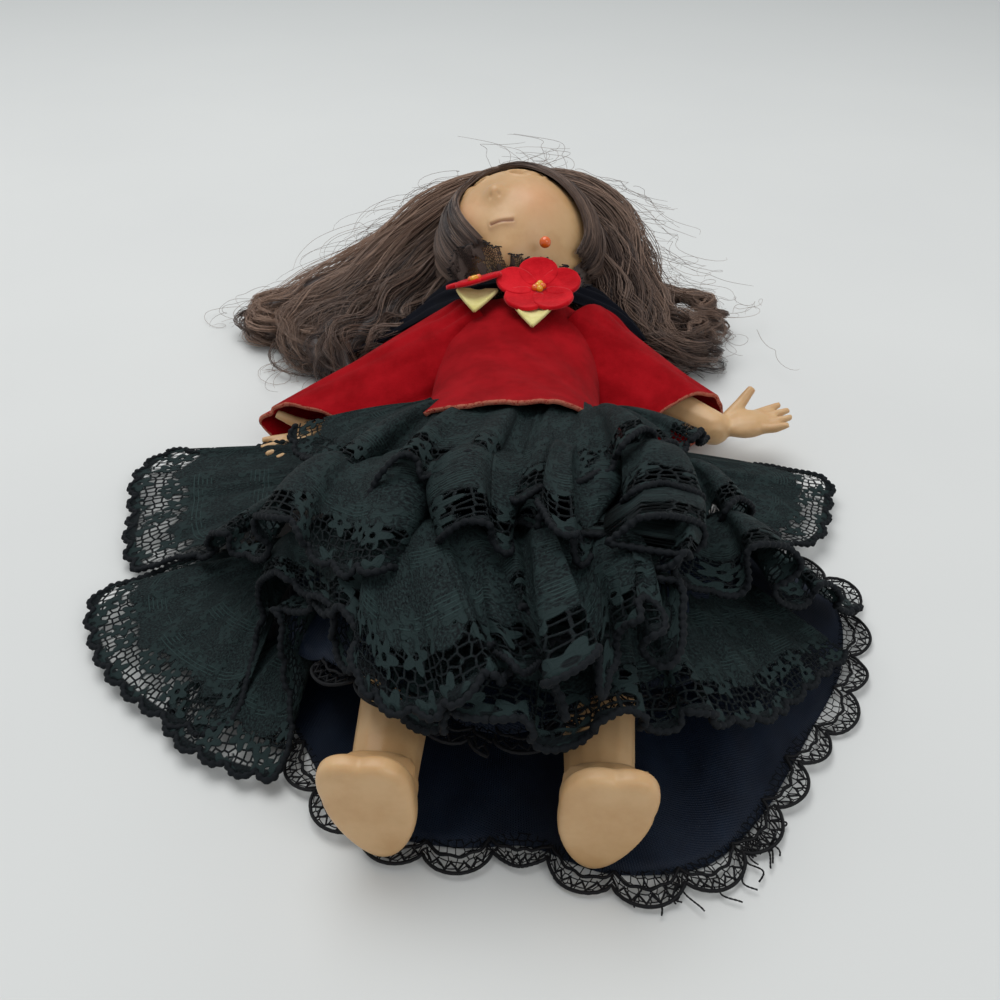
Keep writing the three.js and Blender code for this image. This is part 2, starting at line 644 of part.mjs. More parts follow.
function round(y, a, grow, wide, flat) {
  const [w, d] = torsoStation(y);
  const bend = (c) => Math.sign(c) * Math.abs(c) ** (2 / 2.2);
  const half = Math.max(w, wide) + grow;
  const z = BODY_Z + (d + grow) * bend(Math.sin(a));
  const pressed = Math.max(0, z - flat * (1 - z / BODY_Z));
  return [half * bend(Math.cos(a)), y, flat > 0 ? pressed : z];
}

// A cloth half tube on the torso, with a ring at each of the torso's own stations
function wrap(y0, y1, thickness, wide, from, to) {
  const places = [y0, ...TORSO_STATIONS.map((s) => s[0]).filter((y) => y < y0 - 1 && y > y1 + 1).reverse(), y1];
  const down = places.length - 1;
  const at = (v) => places[Math.round(v * down)];
  const angle = (u) => mix(from, to, u);
  const flat = from >= Math.PI ? FLOOR_PRESS : 0;
  return panel(
    (u, v) => round(at(v), angle(u), CLEAR + thickness, wide(at(v)), flat),
    (u, v) => round(at(v), angle(u), CLEAR, wide(at(v)), 0),
    14, down);
}

const seam = 0.012;
const bodiceWide = (y) => mix(BODICE_HALF_WIDTH - CLEAR - FELT, 15, smooth(BODICE_BOTTOM_Y, SHOULDER_Y, y));
const armholes = () => SIDES.map(([, s]) => {
  const [x0, x1] = s > 0 ? [SHOULDER_FACE_X - 0.1, 60] : [-60, 0.1 - SHOULDER_FACE_X];
  return solid(rodAlongX(x0, x1, ARMHOLE_RADIUS, SHOULDER_Y, BODY_Z, 24));
});
const bodiceFront = wrap(BODICE_TOP_Y, BODICE_BOTTOM_Y, FELT, bodiceWide, seam, Math.PI - seam);
const bodiceBack = wrap(
  BODICE_TOP_Y, BODICE_BOTTOM_Y, FELT, bodiceWide, Math.PI + seam, 2 * Math.PI - seam);
piece("bodice_front", geometryOf(cut(solid(bodiceFront), ...armholes())), RED_FELT);
piece("bodice_back", geometryOf(cut(solid(bodiceBack), ...armholes())), RED_FELT);
const waistTop = WAISTBAND_Y + WAISTBAND_WIDTH / 2;
const waistBottom = WAISTBAND_Y - WAISTBAND_WIDTH / 2;
const waistband = (from, to) => wrap(waistTop, waistBottom, SATIN, () => 0, from, to);
piece("waistband_front", waistband(seam, Math.PI - seam), BLACK_SATIN);
piece("waistband_back", waistband(Math.PI + seam, 2 * Math.PI - seam), BLACK_SATIN);

// Bell sleeves: a front and a back panel each, from a ring round the shoulder to a wide mouth
for (const [name, side] of SIDES) {
  const ringX = SHOULDER_FACE_X + 0.6;
  const [outerX, outerY] = SLEEVE_MOUTH_OUTER[name];
  const [innerX, innerY] = SLEEVE_MOUTH_INNER[name];
  const upper = new THREE.CatmullRomCurve3([
    [ringX, SHOULDER_Y + SLEEVE_RING, 0], [24, 44.6, 0],
    [mix(24, outerX, 0.36), mix(44.6, outerY, 0.3), 0],
    [mix(24, outerX, 0.7), mix(44.6, outerY, 0.66), 0], [outerX, outerY, 0],
  ].map(v3));
  const lower = new THREE.CatmullRomCurve3([
    [ringX, SHOULDER_Y - SLEEVE_RING, 0], [20.7, 24.6, 0], [22.2, 18.5, 0],
    [mix(22.2, innerX, 0.5), mix(18.5, innerY, 0.5), 0], [innerX, innerY, 0],
  ].map(v3));
  const at = (shrink, shift) => (a, t) => {
    const top = upper.getPoint(t);
    const bottom = lower.getPoint(t);
    const middle = top.clone().add(bottom).multiplyScalar(0.5);
    const half = top.clone().sub(middle);
    half.setLength(half.length() - shrink);
    const high = mix(SLEEVE_RING, SLEEVE_MOUTH_HALF_HEIGHT, smooth(0, 1, t)) - shrink;
    const level = mix(BODY_Z, SLEEVE_MOUTH_Z, smooth(0.1, 1, t));
    const power = mix(2, 3.4, smooth(0, 0.35, t));
    const bend = (c) => Math.sign(c) * Math.abs(c) ** (2 / power);
    const c = bend(Math.cos(a));
    return [
      side * (middle.x + half.x * c), middle.y + half.y * c, level + high * bend(Math.sin(a)) + shift,
    ];
  };
  for (const [face, from, shift] of [["front", 0, CLEAR / 2], ["back", Math.PI, -CLEAR / 2]]) {
    const outer = at(0, shift);
    const inner = at(FELT, shift);
    piece(`sleeve_${name}_${face}`, panel(
      (u, v) => outer(from + Math.PI * u, v),
      (u, v) => inner(from + Math.PI * u, v), 10, 6), RED_FELT);
  }
}

// Underskirt: the back lies on the floor, the front lies over the legs
const overTorso = (y) => BODY_Z + torsoStation(y)[1] + 2 * CLEAR + SATIN;
const overLegs = (y) => legTopZ(y) + 2 * CLEAR + SATIN;
const lapStations = [[ANKLE_Y, overLegs(ANKLE_Y)], [HIP_Y - 6, overTorso(HIP_Y)], [0, overTorso(0)]];
const lapZ = (y) => through(lapStations, y);
const drapeZ = (x, y) => mix(lapZ(y), SIDE_Z, smooth(LAP_HALF_WIDTH - 6, SIDE_REACH, Math.abs(x)))
  - SIDE_Z * smooth(SIDE_REACH + 4, SIDE_REACH + 20, Math.abs(x));

const backHem = new THREE.CatmullRomCurve3(BACK_HEM.map(([x, y]) => new THREE.Vector3(x, y, 0)));
const backWaist = (u) => [mix(-FRONT_WAIST_HALF_WIDTH, FRONT_WAIST_HALF_WIDTH, u), waistBottom - CLEAR];
piece("underskirt_back", lying((u, v) => {
  const hem = backHem.getPoint(u);
  const [x, y] = backWaist(u);
  const wave = 0.25 * (1 - Math.cos(2 * Math.PI * 8 * u)) * v;
  return [mix(x, hem.x, v), mix(y, hem.y, v), SATIN + wave];
}, 26, 3, SATIN), BLACK_SATIN);

const TRIM_FROM = 0.14;
const TRIM_TO = 0.93;
piece("hem_trim_back", lying((u, v) => {
  const hem = backHem.getPoint(mix(TRIM_FROM, TRIM_TO, u));
  const out = new THREE.Vector3(hem.x, hem.y - waistBottom, 0).normalize();
  const reach = CLEAR + v * HEM_TRIM_WIDTH;
  return [hem.x + out.x * reach, hem.y + out.y * reach, CLEAR + HEM_TRIM_THICK];
}, 30, 1, HEM_TRIM_THICK), BLACK_LACE);

const frontHemY = (x) => FRONT_HEM_Y + FRONT_HEM_RISE * smooth(1, 20, Math.abs(x - FRONT_HEM_DIP_X));
const satinHemY = (x) => frontHemY(x) + HEM_TRIM_WIDTH + 3 * CLEAR;
piece("underskirt_front", lying((u, v) => {
  const x = mix(-1, 1, u) * mix(FRONT_WAIST_HALF_WIDTH, FRONT_HEM_HALF_WIDTH, v);
  const y = mix(waistBottom - CLEAR, satinHemY(x), v);
  return [x, y, drapeZ(x, y)];
}, 20, 6, SATIN), BLACK_SATIN);
piece("hem_trim_front", lying((u, v) => {
  const x = mix(-FRONT_TRIM_HALF_WIDTH, FRONT_TRIM_HALF_WIDTH, u);
  const y = frontHemY(x) + HEM_TRIM_WIDTH * (1 - v);
  return [x, y, drapeZ(x, y)];
}, 24, 1, HEM_TRIM_THICK), BLACK_LACE);

// Lace tiers: gathered at the top, and lifted and folded towards the hem
const tierLevel = (v) => CLEAR + LACE + 0.4 + TIER_STEP * v;
for (const { number, top, hem, bow, half, lift, fold, rim } of TIER_FRONTS) {
  const inset = number === 1 ? 0 : CLEAR / 2;
  piece(`tier_${number}_front`, lying((u, v) => {
    const x = mix(-half + inset, half - inset, u);
    const y = mix(top, hem - bow * (1 - (x / half) ** 2), v);
    const wave = fold * v ** 1.5 * Math.cos((2 * Math.PI * x) / TIER_FOLD_LENGTH);
    const raised = tierLevel(0) + lift * v ** 0.9 + wave;
    return [x, y, drapeZ(x, y) + mix(raised, tierLevel(v) + rim * v, smooth(14, half - 1, Math.abs(x)))];
  }, Math.round((10 * half) / TIER_FOLD_LENGTH), 4, LACE), BLACK_LACE);
}

for (const { number, name, lobe, top, bottom } of TIER_SIDES) {
  const side = name === "left" ? 1 : -1;
  const edge = (points) => new THREE.CatmullRomCurve3(points.map(([x, y]) => new THREE.Vector3(x, y, 0)));
  const [upper, lower] = [edge(top), edge(bottom)];
  piece(`tier_${number}_${name}`, lying((u, v) => {
    const p = upper.getPoint(u).lerp(lower.getPoint(u), v);
    const x = p.x + (u === 0 ? CLEAR / 2 : 0);
    const wave = FLANK_FOLD * v ** 2 * (1 - Math.cos(2 * Math.PI * 4 * u)) * (1 - 0.7 * u);
    const raised = lobe * v ** 3 * Math.sin(Math.PI * Math.min(1, 1.6 * u));
    return [side * x, p.y, drapeZ(x, p.y) + tierLevel(v) + wave + raised];
  }, 16, 4, LACE), BLACK_LACE);
}

// At the neck: the shawl's ring, the net frill, two felt flowers with their leaves, and a bead
const shawlBottom = TORSO_TOP_Y + CLEAR;
const shawl = new THREE.LatheGeometry([
  [SHAWL_INNER, shawlBottom], [SHAWL_OUTER, shawlBottom], [SHAWL_OUTER, shawlBottom + SHAWL_HEIGHT - 1],
  [(SHAWL_INNER + SHAWL_OUTER) / 2, shawlBottom + SHAWL_HEIGHT], [SHAWL_INNER, shawlBottom + SHAWL_HEIGHT - 1],
  [SHAWL_INNER, shawlBottom],
].map(([x, y]) => new THREE.Vector2(x, y)), 20).translate(0, 0, BODY_Z);
piece("shawl", shawl, BLACK_SATIN);

const frill = (lift) => (u, v) => {
  const a = mix(deg(-105), deg(80), u);
  const radius = mix(FRILL_INNER, FRILL_OUTER, v);
  const y = shawlBottom + 1 + FRILL_RISE * v + 1.1 * v * Math.cos(2 * Math.PI * 7 * u) + lift;
  return [radius * Math.sin(a), y, BODY_Z + radius * Math.cos(a)];
};
piece("neck_frill", panel(frill(0), frill(NET), 28, 2), BLACK_LACE);

function petals(radius) {
  const shape = new THREE.Shape();
  const steps = PETAL_COUNT * 6;
  for (let i = 0; i <= steps; i++) {
    const a = (i / steps) * 2 * Math.PI;
    const r = radius * (0.62 + 0.38 * Math.abs(Math.sin((PETAL_COUNT * a) / 2)) ** 0.8);
    shape[i ? "lineTo" : "moveTo"](r * Math.cos(a), r * Math.sin(a));
  }
  return new THREE.ExtrudeGeometry(shape, { depth: PETAL_THICK, bevelEnabled: false, steps: 1 });
}

function leaf() {
  const shape = new THREE.Shape();
  shape.moveTo(0, -LEAF_LENGTH / 2);
  shape.quadraticCurveTo(LEAF_WIDTH, 0, 0, LEAF_LENGTH / 2);
  shape.quadraticCurveTo(-LEAF_WIDTH, 0, 0, -LEAF_LENGTH / 2);
  return new THREE.ExtrudeGeometry(shape, { depth: LEAF_THICK, bevelEnabled: false, steps: 1, curveSegments: 6 });
}

for (const [name, place] of Object.entries(FLOWERS)) {
  const flower = new THREE.Group();
  flower.position.set(...place.middle);
  flower.rotation.set(deg(place.tilt), deg(place.roll), 0);
  doll.add(flower);
  piece(`flower_${name}_petals`, petals(place.radius), FLOWER_FELT, flower);
  const centre = ball([0, 0, PETAL_THICK + CLEAR + 1.1], [1.9, 1.9, 1.1], 10, 6);
  piece(`flower_${name}_centre`, centre, BEAD, flower);
  const leafPiece = piece(`flower_${name}_leaf`, leaf(), LEAF_FELT);
  leafPiece.position.set(...place.leaf);
  leafPiece.rotation.set(0, deg(place.roll), deg(place.leafTurn));
}
const beadReach = FRILL_OUTER + CLEAR + BEAD_RADIUS;
const beadPlace = [
  beadReach * Math.sin(deg(BEAD_TURN_DEG)), shawlBottom + 1 + FRILL_RISE,
  BODY_Z + beadReach * Math.cos(deg(BEAD_TURN_DEG)),
];
piece("bead", ball(beadPlace, Array(3).fill(BEAD_RADIUS), 10, 8), BEAD);

export default doll;
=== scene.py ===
# %% [markdown]
# # A costume doll in a lace skirt
# The doll lies on its back on a pale floor. Its solids come packed, as a frame, and this script dresses
# them: vinyl skin, felt blouse, lace ruffles, satin underskirt and rooted hair. Lengths are written in
# millimetres, because that is how a doll is measured, and turned into metres when a mesh is made.

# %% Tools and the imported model
import math

import bpy
import numpy as np
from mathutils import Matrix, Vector, noise


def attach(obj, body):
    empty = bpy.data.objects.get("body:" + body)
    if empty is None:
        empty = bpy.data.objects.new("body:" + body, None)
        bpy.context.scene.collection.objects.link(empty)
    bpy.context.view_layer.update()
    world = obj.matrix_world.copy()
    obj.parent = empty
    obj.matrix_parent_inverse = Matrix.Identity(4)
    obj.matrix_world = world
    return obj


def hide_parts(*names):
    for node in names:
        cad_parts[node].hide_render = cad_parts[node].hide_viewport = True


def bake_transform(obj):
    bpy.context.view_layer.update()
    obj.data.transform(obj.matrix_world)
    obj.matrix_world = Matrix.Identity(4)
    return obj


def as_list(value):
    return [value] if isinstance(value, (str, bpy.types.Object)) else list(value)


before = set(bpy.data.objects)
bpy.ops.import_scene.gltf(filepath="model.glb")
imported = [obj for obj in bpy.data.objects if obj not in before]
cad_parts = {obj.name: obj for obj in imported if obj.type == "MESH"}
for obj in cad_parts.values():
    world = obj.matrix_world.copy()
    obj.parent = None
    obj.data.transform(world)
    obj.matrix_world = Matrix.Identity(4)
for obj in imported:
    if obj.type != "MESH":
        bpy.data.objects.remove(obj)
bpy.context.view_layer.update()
MM = 0.001
print("nodes in the frame:", len(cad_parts))

# %% [markdown]
# ## Helpers for materials
# A material is a tree of nodes. Each of these functions adds one node, or a few that always go together, so
# that the trees below read like short sums. Colours are written as they look on a screen, from 0 to 255.

# %% Colours and nodes
def srgb(red, green, blue):
    """A colour from its 0 to 255 values, as linear light."""
    return tuple((c / 255) ** 2.2 for c in (red, green, blue)) + (1.0,)


def shaded(colour, times):
    """A darker or lighter colour."""
    return tuple(times * c for c in colour[:3]) + (1.0,)


def new_material(name):
    material = bpy.data.materials.new(name)
    material.use_nodes = True
    return material, material.node_tree, material.node_tree.nodes["Principled BSDF"]


def add_node(tree, kind, inputs=None, **settings):
    """A node with its settings, and its inputs as plain values or as sockets to link."""
    made = tree.nodes.new(kind)
    for key, value in settings.items():
        setattr(made, key, value)
    for key, value in (inputs or {}).items():
        if isinstance(value, bpy.types.NodeSocket):
            tree.links.new(value, made.inputs[key])
        else:
            made.inputs[key].default_value = value
    return made


def calc(tree, operation, *values):
    """The result of a Math node."""
    return add_node(tree, "ShaderNodeMath", dict(enumerate(values)), operation=operation).outputs[0]


def band(tree, value, low, high):
    """0 below low and 1 above high, or the other way where low is the larger."""
    return add_node(tree, "ShaderNodeMapRange", {
        "Value": value, "From Min": low, "From Max": high}, interpolation_type="SMOOTHSTEP").outputs[0]


def coordinates(tree, kind="Object"):
    return add_node(tree, "ShaderNodeTexCoord").outputs[kind]


def axis_of(tree, vector, axis):
    return add_node(tree, "ShaderNodeSeparateXYZ", {0: vector}).outputs[axis]


def clouds(tree, place, scale, detail=2.0, **more):
    """Soft noise from 0 to 1 at a scale."""
    return add_node(tree, "ShaderNodeTexNoise", {
        "Vector": place, "Scale": scale, "Detail": detail, **more}).outputs["Fac"]


def mix(tree, share, first, second):
    """The colour between two, by the share of the second."""
    return add_node(tree, "ShaderNodeMix", {
        "Factor": share, "A": first, "B": second}, data_type="RGBA").outputs["Result"]


def dress(tree, shader, colour, values, bump=None):
    """The shader's colour, its plain values, and a bump given as height, strength and depth in metres."""
    tree.links.new(colour, shader.inputs["Base Color"])
    for key, value in values.items():
        shader.inputs[key].default_value = value
    if bump:
        made = add_node(tree, "ShaderNodeBump", dict(zip(("Height", "Strength", "Distance"), bump)))
        tree.links.new(made.outputs["Normal"], shader.inputs["Normal"])

# %% [markdown]
# ## Stage, camera and light
# The photograph looks down at the soles of the feet at 37 degrees, from close by, so that the feet look
# large and the head small. The camera stands where the feet, the waist and the head of a doll 200 mm tall
# fall on their places in the picture. Light comes from a wide pale ceiling, which leaves soft shadows.

# %% Floor
floor_material, tree, shader = new_material("pale_floor")
place = coordinates(tree)
tint = mix(tree, clouds(tree, place, 9.0, 3.0), srgb(208, 210, 209), srgb(218, 220, 218))
# Painted shade: the floor turns darker towards the back, a painted fall-off of light.
tint = mix(tree, band(tree, axis_of(tree, place, "Y"), 0.08, 0.7), tint, srgb(192, 195, 194))
dress(tree, shader, tint, {"Roughness": 0.75})
bpy.ops.mesh.primitive_plane_add(size=6)
floor = bpy.context.object
floor.name = "floor"
floor.data.materials.append(floor_material)

# %% Camera
CAMERA_PLACE = (7.7, -190.7, 142.6)
CAMERA_DOWN_DEG = 37.4
CAMERA_YAW_DEG = 3.6
camera_data = bpy.data.cameras.new("camera")
camera_data.lens = 36.0
camera_data.sensor_width = 36.0
camera_data.clip_start = 0.005
camera = bpy.data.objects.new("camera", camera_data)
bpy.context.collection.objects.link(camera)
camera.location = [c * MM for c in CAMERA_PLACE]
camera.rotation_euler = (math.radians(90 - CAMERA_DOWN_DEG), 0, math.radians(CAMERA_YAW_DEG))
bpy.context.scene.camera = camera

# %% Lamps and sky
def area_lamp(name, place, aim, size, watts):
    data = bpy.data.lights.new(name, "AREA")
    data.size = size
    data.energy = watts
    lamp = bpy.data.objects.new(name, data)
    bpy.context.collection.objects.link(lamp)
    lamp.location = place
    lamp.rotation_euler = (Vector(aim) - Vector(place)).to_track_quat("-Z", "Y").to_euler()


area_lamp("ceiling_lamp", (-0.25, 0.35, 1.1), (0, 0, 0), 0.9, 8.2)
area_lamp("window_lamp", (0.7, -0.7, 0.8), (0, 0, 0), 0.7, 3.0)
world = bpy.data.worlds.new("room")
world.use_nodes = True
world.node_tree.nodes["Background"].inputs["Color"].default_value = srgb(232, 234, 236)
world.node_tree.nodes["Background"].inputs["Strength"].default_value = 0.56
bpy.context.scene.world = world
bpy.context.scene.view_settings.view_transform = "Standard"
print("camera at", CAMERA_PLACE)

# %% [markdown]
# ## Helpers for meshes
# Nearly every piece of cloth is a grid: columns along its hem and rows from its gathered edge down. A grid
# made in code keeps its own UV map in millimetres, so that lace and weave follow the cloth round each fold.

# %% Meshes from points
def mesh_piece(name, points, faces, material, uv=None):
    """A mesh object from points in millimetres, with a UV pair for each point where it is given."""
    mesh = bpy.data.meshes.new(name)
    mesh.from_pydata([[c * MM for c in p] for p in points], [], faces)
    if uv is not None:
        layer = mesh.uv_layers.new(name="UVMap")
        for loop in mesh.loops:
            layer.data[loop.index].uv = uv[loop.vertex_index]
    mesh.materials.append(material)
    mesh.polygons.foreach_set("use_smooth", [True] * len(mesh.polygons))
    obj = bpy.data.objects.new(name, mesh)
    bpy.context.collection.objects.link(obj)
    return obj


def grid_faces(columns, rows):
    return [
        (i * rows + j, (i + 1) * rows + j, (i + 1) * rows + j + 1, i * rows + j + 1)
        for i in range(columns - 1) for j in range(rows - 1)
    ]


def bake_modifiers(obj):
    """The object's modifiers become plain mesh."""
    graph = bpy.context.evaluated_depsgraph_get()
    finished = bpy.data.meshes.new_from_object(obj.evaluated_get(graph), depsgraph=graph)
    obj.modifiers.clear()
    obj.data = finished
    return obj


def thicken(obj, thickness):
    """A sheet gets its two faces and its edge, half of the thickness to each side."""
    wall = obj.modifiers.new("wall", "SOLIDIFY")
    wall.thickness = thickness * MM
    wall.offset = 0.0
    return bake_modifiers(obj)

# %% [markdown]
# A hem or a lock of hair is drawn as a few points, and a spline makes a smooth line of them. Places that
# step evenly along it keep the scallops equally wide. A ripple is soft noise along a line: folds and
# creases follow it, so that no two are alike.

# %% Curves, steps and ripples
def smooth_step(low, high, value):
    t = np.clip((value - low) / (high - low), 0, 1)
    return t * t * (3 - 2 * t)


def spline(points, at):
    """Points on a smooth curve through the given ones, at places from 0 to 1."""
    p = np.asarray(points, float)
    last = len(p) - 1
    place = np.clip(np.asarray(at, float) * last, 0, last - 1e-9)
    i = place.astype(int)
    t = (place - i)[:, None]
    before = p[np.maximum(i - 1, 0)]
    start, end = p[i], p[i + 1]
    after = p[np.minimum(i + 2, last)]
    return 0.5 * (2 * start + (end - before) * t + (2 * before - 5 * start + 4 * end - after) * t ** 2
                  + (3 * start - before - 3 * end + after) * t ** 3)


def even_places(points, count):
    """Places from 0 to 1 that step evenly along the curve, and the curve's length."""
    fine = np.linspace(0, 1, 1500)
    steps = np.linalg.norm(np.diff(spline(points, fine), axis=0), axis=1)
    run = np.concatenate([[0], np.cumsum(steps)])
    return np.interp(np.linspace(0, run[-1], count), run, fine), run[-1]


def unit(vectors):
    return vectors / np.maximum(np.linalg.norm(vectors, axis=-1, keepdims=True), 1e-9)


def ripple(places, seed):
    """Soft noise from -1 to 1 along a line."""
    return np.array([noise.noise(Vector((p, seed * 7.3, 0.5))) * 1.6 for p in places])

# %% [markdown]
# ## Lace
# The ruffles are machine lace: a net of fine thread, flowers worked close, a gimp cord round each scallop
# of the hem, and rows of cord where the strip is gathered. The net and flowers are far too fine to model,
# so they are a pattern in the material, laid out in millimetres on the cloth's own UV map: U runs along
# the hem and V up from it. The scallops and their cords are real geometry.

# %% A node group for lace
def shader_group(name, numbers, results):
    """A shader group with named numbers coming in and going out."""
    group = bpy.data.node_groups.new(name, "ShaderNodeTree")
    for key, value in numbers.items():
        group.interface.new_socket(key, in_out="INPUT", socket_type="NodeSocketFloat").default_value = value
    for key in results:
        group.interface.new_socket(key, in_out="OUTPUT", socket_type="NodeSocketFloat")
    return group, group.nodes.new("NodeGroupInput").outputs, group.nodes.new("NodeGroupOutput").inputs


PETALS = 5.0
BAR_PITCH, LADDER_PITCH = 0.7, 9.5
HEM_TAPE = 2.1


def lace_group():
    """Where the thread covers, how high it stands and how pale it is, by the place on the cloth: a random
    speckle, and a painted highlight on the raised ribs and flowers.
    """
    group, given, out = shader_group("lace_pattern", {
        "Net Cell": 1.5, "Flower Size": 5.4, "Flowers": 1.0, "Dense From": 7.5, "Thread": 0.06,
    }, ("Cover", "Height", "Shade"))
    place = coordinates(group, "UV")
    up = axis_of(group, place, "Y")

    net = add_node(group, "ShaderNodeTexVoronoi", {
        "Vector": place, "Scale": calc(group, "DIVIDE", 1.0, given["Net Cell"]), "Randomness": 0.55,
    }, voronoi_dimensions="2D", feature="DISTANCE_TO_EDGE").outputs["Distance"]
    threads = band(group, net, calc(group, "ADD", given["Thread"], 0.06), given["Thread"])

    cells = add_node(group, "ShaderNodeTexVoronoi", {
        "Vector": place, "Scale": calc(group, "DIVIDE", 1.0, given["Flower Size"]), "Randomness": 0.7,
    }, voronoi_dimensions="2D", feature="F1")
    arm = add_node(group, "ShaderNodeVectorMath", {0: place, 1: cells.outputs["Position"]},
                   operation="SUBTRACT").outputs[0]
    turn = add_node(group, "ShaderNodeSeparateXYZ", {0: arm})
    angle = calc(group, "ARCTAN2", turn.outputs["Y"], turn.outputs["X"])
    petals = calc(group, "COSINE", calc(group, "MULTIPLY", angle, PETALS))
    edge = calc(group, "MULTIPLY_ADD", petals, 0.12, 0.40)
    inside = calc(group, "SUBTRACT", edge, cells.outputs["Distance"])
    flower = calc(group, "MULTIPLY", band(group, inside, 0.0, 0.05),
                  band(group, cells.outputs["Distance"], 0.07, 0.12))

    slow = clouds(group, place, 0.16)
    worked = calc(group, "MULTIPLY", band(group, slow, 0.42, 0.47), given["Flowers"])
    flower = calc(group, "MULTIPLY", flower, worked)
    fine = clouds(group, place, 2.2, 4.0, Roughness=0.7)
    level = calc(group, "MULTIPLY_ADD", slow, -9.0, calc(group, "ADD", up, 4.5))
    dense = band(group, level, given["Dense From"], calc(group, "ADD", given["Dense From"], 1.2))
    pinholes = calc(group, "MULTIPLY", band(group, net, 0.36, 0.42), band(group, fine, 0.50, 0.56))
    bars = calc(group, "SINE", calc(group, "MULTIPLY", up, 2 * math.pi / BAR_PITCH))
    ladder = calc(group, "SINE", calc(group, "MULTIPLY", up, 2 * math.pi / LADDER_PITCH))
    rib = calc(group, "MULTIPLY", band(group, bars, 0.1, 0.8), band(group, ladder, 0.1, 0.6))
    rib = calc(group, "MULTIPLY", rib, calc(group, "MULTIPLY", dense, band(group, slow, 0.49, 0.55)))
    hem = band(group, up, HEM_TAPE, HEM_TAPE - 0.4)
    cover = calc(group, "MULTIPLY", dense, calc(group, "SUBTRACT", 1.0, pinholes))
    for part in (threads, flower, hem):
        cover = calc(group, "MAXIMUM", cover, part)
    group.links.new(cover, out["Cover"])
    height = calc(group, "ADD", calc(group, "MULTIPLY", threads, 0.4), calc(group, "MULTIPLY", flower, 0.9))
    height = calc(group, "ADD", height, calc(group, "MULTIPLY_ADD", fine, 1.1, rib))
    group.links.new(height, out["Height"])
    speckle = calc(group, "MULTIPLY", band(group, fine, 0.36, 0.70),
                   calc(group, "MULTIPLY_ADD", dense, 0.27, 0.13))
    # Painted highlight: the raised ribs and flowers are drawn paler, as if they caught the light.
    raised = calc(group, "MAXIMUM", calc(group, "MULTIPLY", rib, 0.46), calc(group, "MULTIPLY", flower, 0.27))
    group.links.new(calc(group, "MAXIMUM", speckle, raised), out["Shade"])
    return group


LACE_GROUP = lace_group()
print("lace pattern:", len(LACE_GROUP.nodes), "nodes")

# %% Lace materials
def lace_material(name, dark, light, **values):
    """Dark thread, paler in a random speckle and in a painted highlight on its raised ribs and flowers, and
    cut away between its threads.
    """
    material, tree, shader = new_material(name)
    pattern = add_node(tree, "ShaderNodeGroup", {
        key.replace("_", " ").title(): value for key, value in values.items()}, node_tree=LACE_GROUP).outputs
    tree.links.new(pattern["Cover"], shader.inputs["Alpha"])
    dress(tree, shader, mix(tree, pattern["Shade"], dark, light),
          {"Roughness": 0.75, "Specular IOR Level": 0.16}, (pattern["Height"], 0.7, 0.00028))
    return material


RUFFLE_LACE = lace_material("ruffle_lace", srgb(7, 13, 18), srgb(62, 83, 82))
TRIM_NET = lace_material("trim_net", srgb(12, 14, 18), srgb(22, 25, 30), dense_from=60.0, net_cell=1.3,
                         flowers=0.0, thread=0.02)

# %% [markdown]
# Gimp and trim cords are twisted thread. At this size the twist is only a fine roughness, so the material
# has a grain that shades and bumps it together.

# %% Thread
def thread_material(name, colour, roughness):
    """Twisted thread: a colour that varies a little along it and a fine bump."""
    material, tree, shader = new_material(name)
    grain = clouds(tree, coordinates(tree), 2500.0)
    dress(tree, shader, mix(tree, grain, shaded(colour, 0.6), shaded(colour, 1.4)),
          {"Roughness": roughness, "Specular IOR Level": 0.25}, (grain, 0.6, 0.0002))
    return material


GIMP_CORD = thread_material("gimp_cord", srgb(13, 19, 24), 0.8)

# %% [markdown]
# ## Cords
# A cord follows a line that is already known: the hem. So the mesh is only that line, as edges, and a
# Geometry Nodes tree lays a round profile along it, which swells and thins as gimp does. The trim and the
# hair are lines too, so what their trees share is made once: the way in, and the tube at the end.

# %% What the trees for lines share
def line_tree(name, numbers):
    """A Geometry Nodes tree with named numbers and a material, and its lines of edges as a curve."""
    group = bpy.data.node_groups.new(name, "GeometryNodeTree")
    face = group.interface
    face.new_socket("Geometry", in_out="INPUT", socket_type="NodeSocketGeometry")
    for key, value in numbers.items():
        face.new_socket(key, in_out="INPUT", socket_type="NodeSocketFloat").default_value = value
    face.new_socket("Material", in_out="INPUT", socket_type="NodeSocketMaterial")
    face.new_socket("Geometry", in_out="OUTPUT", socket_type="NodeSocketGeometry")
    given = group.nodes.new("NodeGroupInput").outputs
    line = add_node(group, "GeometryNodeMeshToCurve", {"Mesh": given["Geometry"]}).outputs[0]
    if "Step" in numbers:
        line = add_node(group, "GeometryNodeResampleCurve", {
            "Curve": line, "Length": given["Step"]}, mode="LENGTH").outputs[0]
    return group, given, line


def tube_out(group, given, sides, radius, **curve):
    """The last nodes of a tree: the curve as a smooth tube of so many sides, real and with its material."""
    ring = add_node(group, "GeometryNodeCurvePrimitiveCircle", {"Resolution": sides, "Radius": radius})
    tube = add_node(group, "GeometryNodeCurveToMesh", {"Profile Curve": ring.outputs["Curve"], **{
        key.replace("_", " "): value for key, value in curve.items()}})
    smooth = add_node(group, "GeometryNodeSetShadeSmooth", {"Geometry": tube.outputs[0]})
    real = add_node(group, "GeometryNodeRealizeInstances", {"Geometry": smooth.outputs[0]})
    painted = add_node(group, "GeometryNodeSetMaterial", {
        "Geometry": real.outputs[0], "Material": given["Material"]})
    group.links.new(painted.outputs[0], group.nodes.new("NodeGroupOutput").inputs["Geometry"])
    return group

